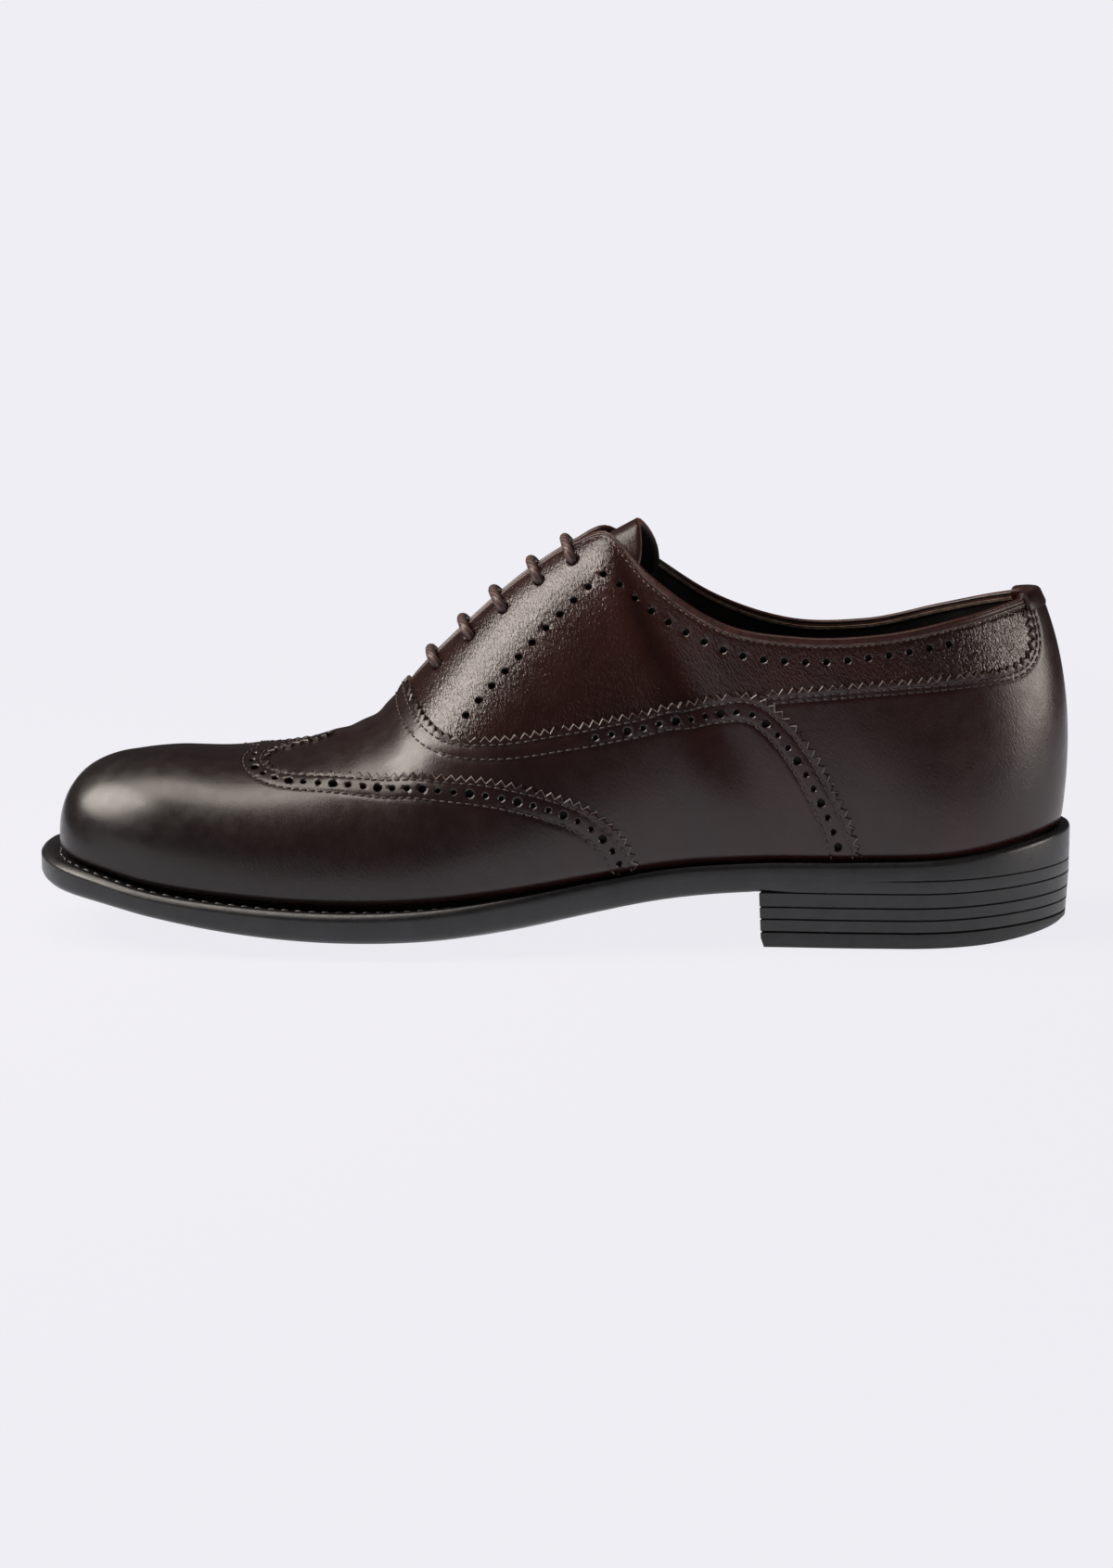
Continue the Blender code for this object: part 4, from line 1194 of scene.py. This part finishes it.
# Materials, all worked out from each piece's own coordinates in metres
CLOUD_SPAN = (0.35, 0.65)
ROUGH_SPAN = (0.3, 0.7)
ROUGH_SPREAD = 0.06
GLOSS_SPREAD = (-0.04, 0.05)
TOE_COLOUR = (-125.0, 70.0)
TOE_SMOOTH = (-120.0, -60.0)
TOE_GRAIN = 0.3
GRAIN_SLOPE = 62.0
GRAIN_LENGTH = 3.0
GRAIN_SCALE = 2200.0
GRAIN_DEPTH = 0.17
LEATHER_CLOUD = 55.0
LEATHER_SHEEN = 240.0
BRAID_SLANT = (1.0, 0.8, 0.6)
BRAID_SCALE = 330.0
BRAID_WANDER = 1.5
BRAID_DEPTH = 0.09
BRAID_SHEEN = 900.0
BRAID_ROUGH = (0.36, 0.52)

# Coats: weight and roughness
NO_COAT = (0.0, 0.03)
LEATHER_COAT = (0.1, 0.2)
SOLE_COAT = (0.12, 0.28)
LACE_COAT = (0.15, 0.3)

# Polished leathers: dark and light colour, colour at the toe, roughness and strength of the grain
LEATHERS = {
    "burnished_leather": (
        (0.0165, 0.0036, 0.003), (0.028, 0.007, 0.0056), (0.0082, 0.005, 0.0051), 0.31, 0.28,
    ),
    "oxblood_leather": (
        (0.019, 0.0047, 0.0034), (0.034, 0.009, 0.0062), (0.012, 0.0046, 0.004), 0.23, 1.25,
    ),
    "tongue_leather": (
        (0.02, 0.0072, 0.0055), (0.036, 0.013, 0.0095), (0.015, 0.006, 0.005), 0.32, 0.5,
    ),
}

# Duller materials: dark and light colour, scale of the clouds, roughness, depth and size of the grain
MOTTLED = {
    "rim_leather": ((0.026, 0.007, 0.0052), (0.055, 0.0145, 0.0105), 400.0, 0.38, 0.05, 0.8),
    # Cut edge of the quarters along the rim: its own lighter edge colour, with a painted highlight on top
    "edge_leather_highlight": ((0.05, 0.03, 0.026), (0.11, 0.075, 0.066), 500.0, 0.27, 0.03, 0.6),
    # Cut edges of the panels: lighter raw leather, made lighter still as a painted highlight on the bevels
    "cut_edge_highlight": ((0.07, 0.055, 0.05), (0.19, 0.16, 0.148), 700.0, 0.38, 0.04, 0.4),
    "raw_lining": ((0.075, 0.05, 0.036), (0.18, 0.13, 0.098), 600.0, 0.7, 0.08, 0.4),
    "tongue_edge": ((0.085, 0.028, 0.018), (0.2, 0.075, 0.05), 600.0, 0.6, 0.08, 0.4),
    # Walls and closed bottoms of the holes: painted near-black shade where the layer below lies in shade
    "hole_painted_shade": ((0.0035, 0.0022, 0.002), (0.008, 0.005, 0.0045), 500.0, 0.7, 0.05, 0.4),
    "panel_thread": ((0.02, 0.012, 0.0105), (0.06, 0.042, 0.038), 500.0, 0.42, 0.04, 0.25),
    "collar_thread": ((0.06, 0.03, 0.02), (0.23, 0.13, 0.09), 700.0, 0.42, 0.04, 0.3),
    "welt_thread": ((0.006, 0.006, 0.006), (0.16, 0.155, 0.15), 900.0, 0.35, 0.05, 0.3),
    "lining_leather": ((0.0055, 0.0048, 0.0046), (0.0095, 0.0082, 0.0078), 90.0, 0.5, 0.04, 0.7),
    "sock_leather": ((0.01, 0.009, 0.0085), (0.017, 0.015, 0.014), 90.0, 0.55, 0.05, 0.8),
    "sole_leather": ((0.0085, 0.0082, 0.0088), (0.0145, 0.0138, 0.0145), 130.0, 0.36, 0.04, 0.6, SOLE_COAT),
    "heel_rubber": ((0.0075, 0.0073, 0.0076), (0.0115, 0.011, 0.0114), 160.0, 0.5, 0.05, 0.5),
}
# Lace: its colour on the ribs and a darker painted shade in the braid's grooves
LACE_COLOUR_AND_GROOVE_SHADE = ((0.05, 0.027, 0.023), (0.14, 0.088, 0.078))


def add(tree, kind, values, **settings):
    """A node with its settings and inputs: a socket is linked, anything else is set."""
    made = tree.nodes.new(kind)
    for key, value in settings.items():
        setattr(made, key, value)
    for key, value in values.items():
        if isinstance(value, bpy.types.NodeSocket):
            tree.links.new(value, made.inputs[key])
        else:
            made.inputs[key].default_value = value
    return made


def object_place(tree):
    return add(tree, "ShaderNodeTexCoord", {}).outputs["Object"]


def mapped(tree, values, **settings):
    values = {"Vector": object_place(tree), **values}
    return add(tree, "ShaderNodeMapping", values, **settings).outputs["Vector"]


def streaks(tree, slope, length):
    """Places drawn out along a slope in degrees down toward the heel."""
    values = {"Rotation": (0.0, math.radians(slope), 0.0), "Scale": (length, length, 1.0)}
    return mapped(tree, values, vector_type="TEXTURE")


def noise(tree, at, scale, detail=3.0, distortion=0.0):
    values = {"Vector": at, "Scale": scale, "Detail": detail, "Distortion": distortion}
    return add(tree, "ShaderNodeTexNoise", values).outputs["Fac"]


def product(tree, first, second):
    return add(tree, "ShaderNodeMath", {0: first, 1: second}, operation="MULTIPLY").outputs[0]


def remap(tree, value, low, high, to_low, to_high):
    values = {"Value": value, "From Min": low, "From Max": high, "To Min": to_low, "To Max": to_high}
    return add(tree, "ShaderNodeMapRange", values).outputs["Result"]


def along_shoe(tree, low, high):
    """0 toward the toe and 1 toward the heel, between two stations in millimetres."""
    x = add(tree, "ShaderNodeSeparateXYZ", {"Vector": object_place(tree)}).outputs["X"]
    return remap(tree, x, low * MM, high * MM, 0.0, 1.0)


def colour(rgb):
    return (*rgb, 1.0)


def mixed(tree, factor, first, second):
    return add(tree, "ShaderNodeMix", {0: factor, 6: first, 7: second}, data_type="RGBA").outputs[2]


def clouded(tree, at, scale, dark, light, detail=3.0):
    """Two colours clouded together."""
    factor = remap(tree, noise(tree, at, scale, detail), *CLOUD_SPAN, 0.0, 1.0)
    return mixed(tree, factor, colour(dark), colour(light))


def uneven(tree, at, scale, low, high, detail=3.0):
    """A value that wanders between two limits."""
    return remap(tree, noise(tree, at, scale, detail), *ROUGH_SPAN, low, high)


def raised(tree, height, depth):
    """Bump of a depth in millimetres."""
    values = {"Height": height, "Distance": depth * MM, "Strength": 1.0}
    return add(tree, "ShaderNodeBump", values).outputs["Normal"]


def surface(name, coat):
    """New material, its nodes and its shader, with the coat set on the shader."""
    mat = bpy.data.materials.new(name)
    mat.use_nodes = True
    shader = mat.node_tree.nodes["Principled BSDF"]
    for key, value in zip(("Coat Weight", "Coat Roughness"), coat):
        shader.inputs[key].default_value = value
    return mat, mat.node_tree, shader


def shade(tree, shader, base, rough, normal):
    """Links the worked-out colour, roughness and bump to the shader."""
    for key, socket in (("Base Color", base), ("Roughness", rough), ("Normal", normal)):
        tree.links.new(socket, shader.inputs[key])


def leather(name, dark, light, toe, gloss, grain):
    """Polished leather: cloudy colour, blacker and smoother toward the toe, with a fine wavy grain."""
    mat, tree, shader = surface(name, LEATHER_COAT)
    at = object_place(tree)
    body = clouded(tree, at, LEATHER_CLOUD, dark, light, detail=5.0)
    base = mixed(tree, along_shoe(tree, *TOE_COLOUR), colour(toe), body)
    ripple = noise(tree, streaks(tree, GRAIN_SLOPE, GRAIN_LENGTH), GRAIN_SCALE, detail=1.0, distortion=0.5)
    fade = remap(tree, along_shoe(tree, *TOE_SMOOTH), 0.0, 1.0, TOE_GRAIN, 1.0)
    normal = raised(tree, product(tree, ripple, fade), GRAIN_DEPTH * grain)
    limits = [gloss + spread for spread in GLOSS_SPREAD]
    shade(tree, shader, base, uneven(tree, at, LEATHER_SHEEN, *limits, detail=4.0), normal)
    return mat


def mottled(name, dark, light, scale, rough, depth, grain, coat=NO_COAT):
    """Duller material: two colours clouded together over a bump of a given grain size."""
    mat, tree, shader = surface(name, coat)
    at = object_place(tree)
    base = clouded(tree, at, scale, dark, light)
    normal = raised(tree, noise(tree, at, 1.0 / (grain * MM)), depth)
    roughness = uneven(tree, at, 3 * scale, rough - ROUGH_SPREAD, rough + ROUGH_SPREAD)
    shade(tree, shader, base, roughness, normal)
    return mat


def braid(name, dark, light):
    """Waxed round cord: fine slanting ribs of its braid, darker in the grooves as painted shade."""
    mat, tree, shader = surface(name, LACE_COAT)
    slant = mapped(tree, {"Scale": BRAID_SLANT})
    values = {"Vector": slant, "Scale": BRAID_SCALE, "Distortion": BRAID_WANDER}
    ribs = add(tree, "ShaderNodeTexWave", values, bands_direction="DIAGONAL").outputs["Fac"]
    # Colour follows the rib height: painted shade in the grooves, the cord's colour on the ribs
    base = mixed(tree, ribs, colour(dark), colour(light))
    roughness = uneven(tree, slant, BRAID_SHEEN, *BRAID_ROUGH)
    shade(tree, shader, base, roughness, raised(tree, ribs, BRAID_DEPTH))
    return mat


def make_materials():
    mats = {name: leather(name, *row) for name, row in LEATHERS.items()}
    mats.update((name, mottled(name, *row)) for name, row in MOTTLED.items())
    mats["lace_cord"] = braid("lace_cord", *LACE_COLOUR_AND_GROOVE_SHADE)
    return mats


# Stage: a pale floor that glows almost evenly, and the same pale all round
PALE = (0.863, 0.855, 0.905)
FLOOR_RADIUS = 0.62
FLOOR_POINTS = 96
FLOOR_SHADE = 0.05
FLOOR_FADE = (0.2, 0.9 * FLOOR_RADIUS)
FLOOR_GAP = 0.00005
DOME_RADIUS = 7.0
DOME_POINTS = (48, 24)


def stage_material(name, shaded):
    """Even glow, with a little true shading in the middle of the floor for the contact shadow."""
    mat = bpy.data.materials.new(name)
    mat.use_nodes = True
    tree = mat.node_tree
    tree.nodes.remove(tree.nodes["Principled BSDF"])
    look = add(tree, "ShaderNodeEmission", {"Color": colour(PALE), "Strength": 1.0}).outputs["Emission"]
    if shaded:
        matt = add(tree, "ShaderNodeBsdfDiffuse", {"Color": colour(PALE)}).outputs["BSDF"]
        away = add(tree, "ShaderNodeVectorMath", {0: object_place(tree)}, operation="LENGTH")
        part = remap(tree, away.outputs["Value"], *FLOOR_FADE, FLOOR_SHADE, 0.0)
        look = add(tree, "ShaderNodeMixShader", {0: part, 1: look, 2: matt}).outputs["Shader"]
    tree.links.new(look, tree.nodes["Material Output"].inputs["Surface"])
    return mat


def make_floor():
    bm = bmesh.new()
    bmesh.ops.create_circle(bm, cap_ends=True, segments=FLOOR_POINTS, radius=FLOOR_RADIUS)
    floor = bm_object("floor", bm, [stage_material("pale_floor", True)])
    floor.location.z = -FLOOR_GAP
    bm = bmesh.new()
    around, upward = DOME_POINTS
    bmesh.ops.create_uvsphere(bm, u_segments=around, v_segments=upward, radius=DOME_RADIUS)
    backdrop = bm_object("backdrop", bm, [stage_material("pale_backdrop", False)])
    backdrop.visible_diffuse = False
    backdrop.visible_glossy = False
    backdrop.visible_shadow = False


# Lights: name, direction from the aim, distance, size, brightness, tint and aim, in metres
WARM = (1.0, 0.91, 0.83)
EVEN = (1.0, 1.0, 1.0)
MIDDLE = (0.0, 0.0, 0.05)
LIGHTS = (
    ("left_softbox", (-0.75, -0.07, 0.66), 1.1, (0.58, 0.66), 11.0, WARM, MIDDLE),
    ("top_softbox", (-0.24, 0.03, 0.97), 1.1, (0.5, 0.66), 5.8, WARM, MIDDLE),
    ("front_card", (-0.67, -0.74, 0.05), 0.68, (0.66, 0.16), 0.8, EVEN, (-0.1, 0.0, 0.04)),
    ("right_strip", (0.985, -0.13, 0.09), 1.0, (0.28, 0.26), 9.5, WARM, (0.0, 0.0, 0.08)),
)
WORLD = (0.055, 0.053, 0.055)


def area_light(name, toward, distance, size, radiance, tint, aim):
    """Rectangular light of a given brightness and tint, facing the shoe."""
    data = bpy.data.lights.new(name, "AREA")
    data.shape = "RECTANGLE"
    data.size, data.size_y = size
    data.energy = radiance * math.pi * size[0] * size[1]
    data.color = tint
    light = scene_object(name, data)
    light.location = Vector(aim) + Vector(toward).normalized() * distance
    light.rotation_euler = (light.location - Vector(aim)).to_track_quat("Z", "Y").to_euler()
    light.visible_camera = False


def make_lights():
    for row in LIGHTS:
        area_light(*row)
    world = bpy.data.worlds.new("studio")
    world.use_nodes = True
    world.node_tree.nodes["Background"].inputs["Color"].default_value = colour(WORLD)
    bpy.context.scene.world = world
    bpy.context.scene.view_settings.view_transform = "Standard"


# Camera: straight on to the inner side, a little above it
CAMERA_AIM = (0.0, -5.7, 41.0)
CAMERA_DISTANCE = 1050.0
CAMERA_ELEVATION = 12.2
SENSOR = 36.0
FOCAL_PIXELS = 3879.0
IMAGE_WIDTH = 1200.0


def make_camera():
    data = bpy.data.cameras.new("camera")
    data.sensor_fit = "HORIZONTAL"
    data.sensor_width = SENSOR
    data.lens = SENSOR * FOCAL_PIXELS / IMAGE_WIDTH
    camera = scene_object("camera", data)
    tilt = math.radians(CAMERA_ELEVATION)
    back = Vector((0.0, -math.cos(tilt), math.sin(tilt))) * CAMERA_DISTANCE
    camera.location = (Vector(CAMERA_AIM) + back) * MM
    camera.rotation_euler = (0.5 * math.pi - tilt, 0.0, 0.0)
    bpy.context.scene.camera = camera


def make_stitches(panel_rows, mats):
    """Stitch rows of the panels, of the collar and of the welt, each as one piece."""
    panels = []
    for rows, layer in panel_rows:
        panels += [skin_stitches(row, side, layer) for row in rows for side in SIDES]
    finish_piece(stitch_mesh("panel_stitches", panels, mats["panel_thread"]), "burnished_leather")
    collar = [skin_stitches(collar_line(), side, 0.0, COLLAR_PITCH) for side in SIDES]
    piece = stitch_mesh("collar_stitches", collar, mats["collar_thread"], COLLAR_STITCH, COLLAR_RADIUS)
    finish_piece(piece, "oxblood_leather")
    welt = [welt_stitches(side) for side in SIDES]
    piece = stitch_mesh("welt_stitches", welt, mats["welt_thread"], WELT_STITCH, WELT_RADIUS)
    finish_piece(piece, "sole_leather")


def make_shoe(mats):
    # cut is the lighter cut-edge material with a painted highlight; hole is the painted near-black shade of
    # the holes
    burnished, cut, hole = mats["burnished_leather"], mats["cut_edge_highlight"], mats["hole_painted_shade"]
    wing_rows = make_wing([burnished, cut, hole])
    vamp_rows = make_vamp([burnished, cut, hole])
    counter_rows = make_counter([burnished, cut, hole])
    make_quarters([mats["oxblood_leather"], cut, hole])
    make_stitches(((wing_rows, WING_LAYER), (vamp_rows, VAMP_LAYER), (counter_rows, COUNTER_LAYER)), mats)
    make_rim([mats["edge_leather_highlight"], mats["rim_leather"], mats["raw_lining"]])
    make_lining(mats["lining_leather"])
    make_tab([burnished])
    make_tongue([mats["tongue_leather"], mats["lining_leather"], mats["tongue_edge"]])
    make_lace(mats["lace_cord"])
    make_sole(mats["sole_leather"])
    make_heel(mats["sole_leather"])
    make_top_lift(mats["heel_rubber"])
    make_insole(mats["sock_leather"])


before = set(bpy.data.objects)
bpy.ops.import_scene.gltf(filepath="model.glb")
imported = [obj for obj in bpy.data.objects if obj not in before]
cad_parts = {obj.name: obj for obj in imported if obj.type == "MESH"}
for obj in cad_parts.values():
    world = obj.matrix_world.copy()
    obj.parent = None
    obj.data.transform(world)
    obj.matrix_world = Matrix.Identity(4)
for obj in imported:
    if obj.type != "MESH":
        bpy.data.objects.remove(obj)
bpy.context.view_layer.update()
make_camera()
make_lights()
make_floor()
make_shoe(make_materials())
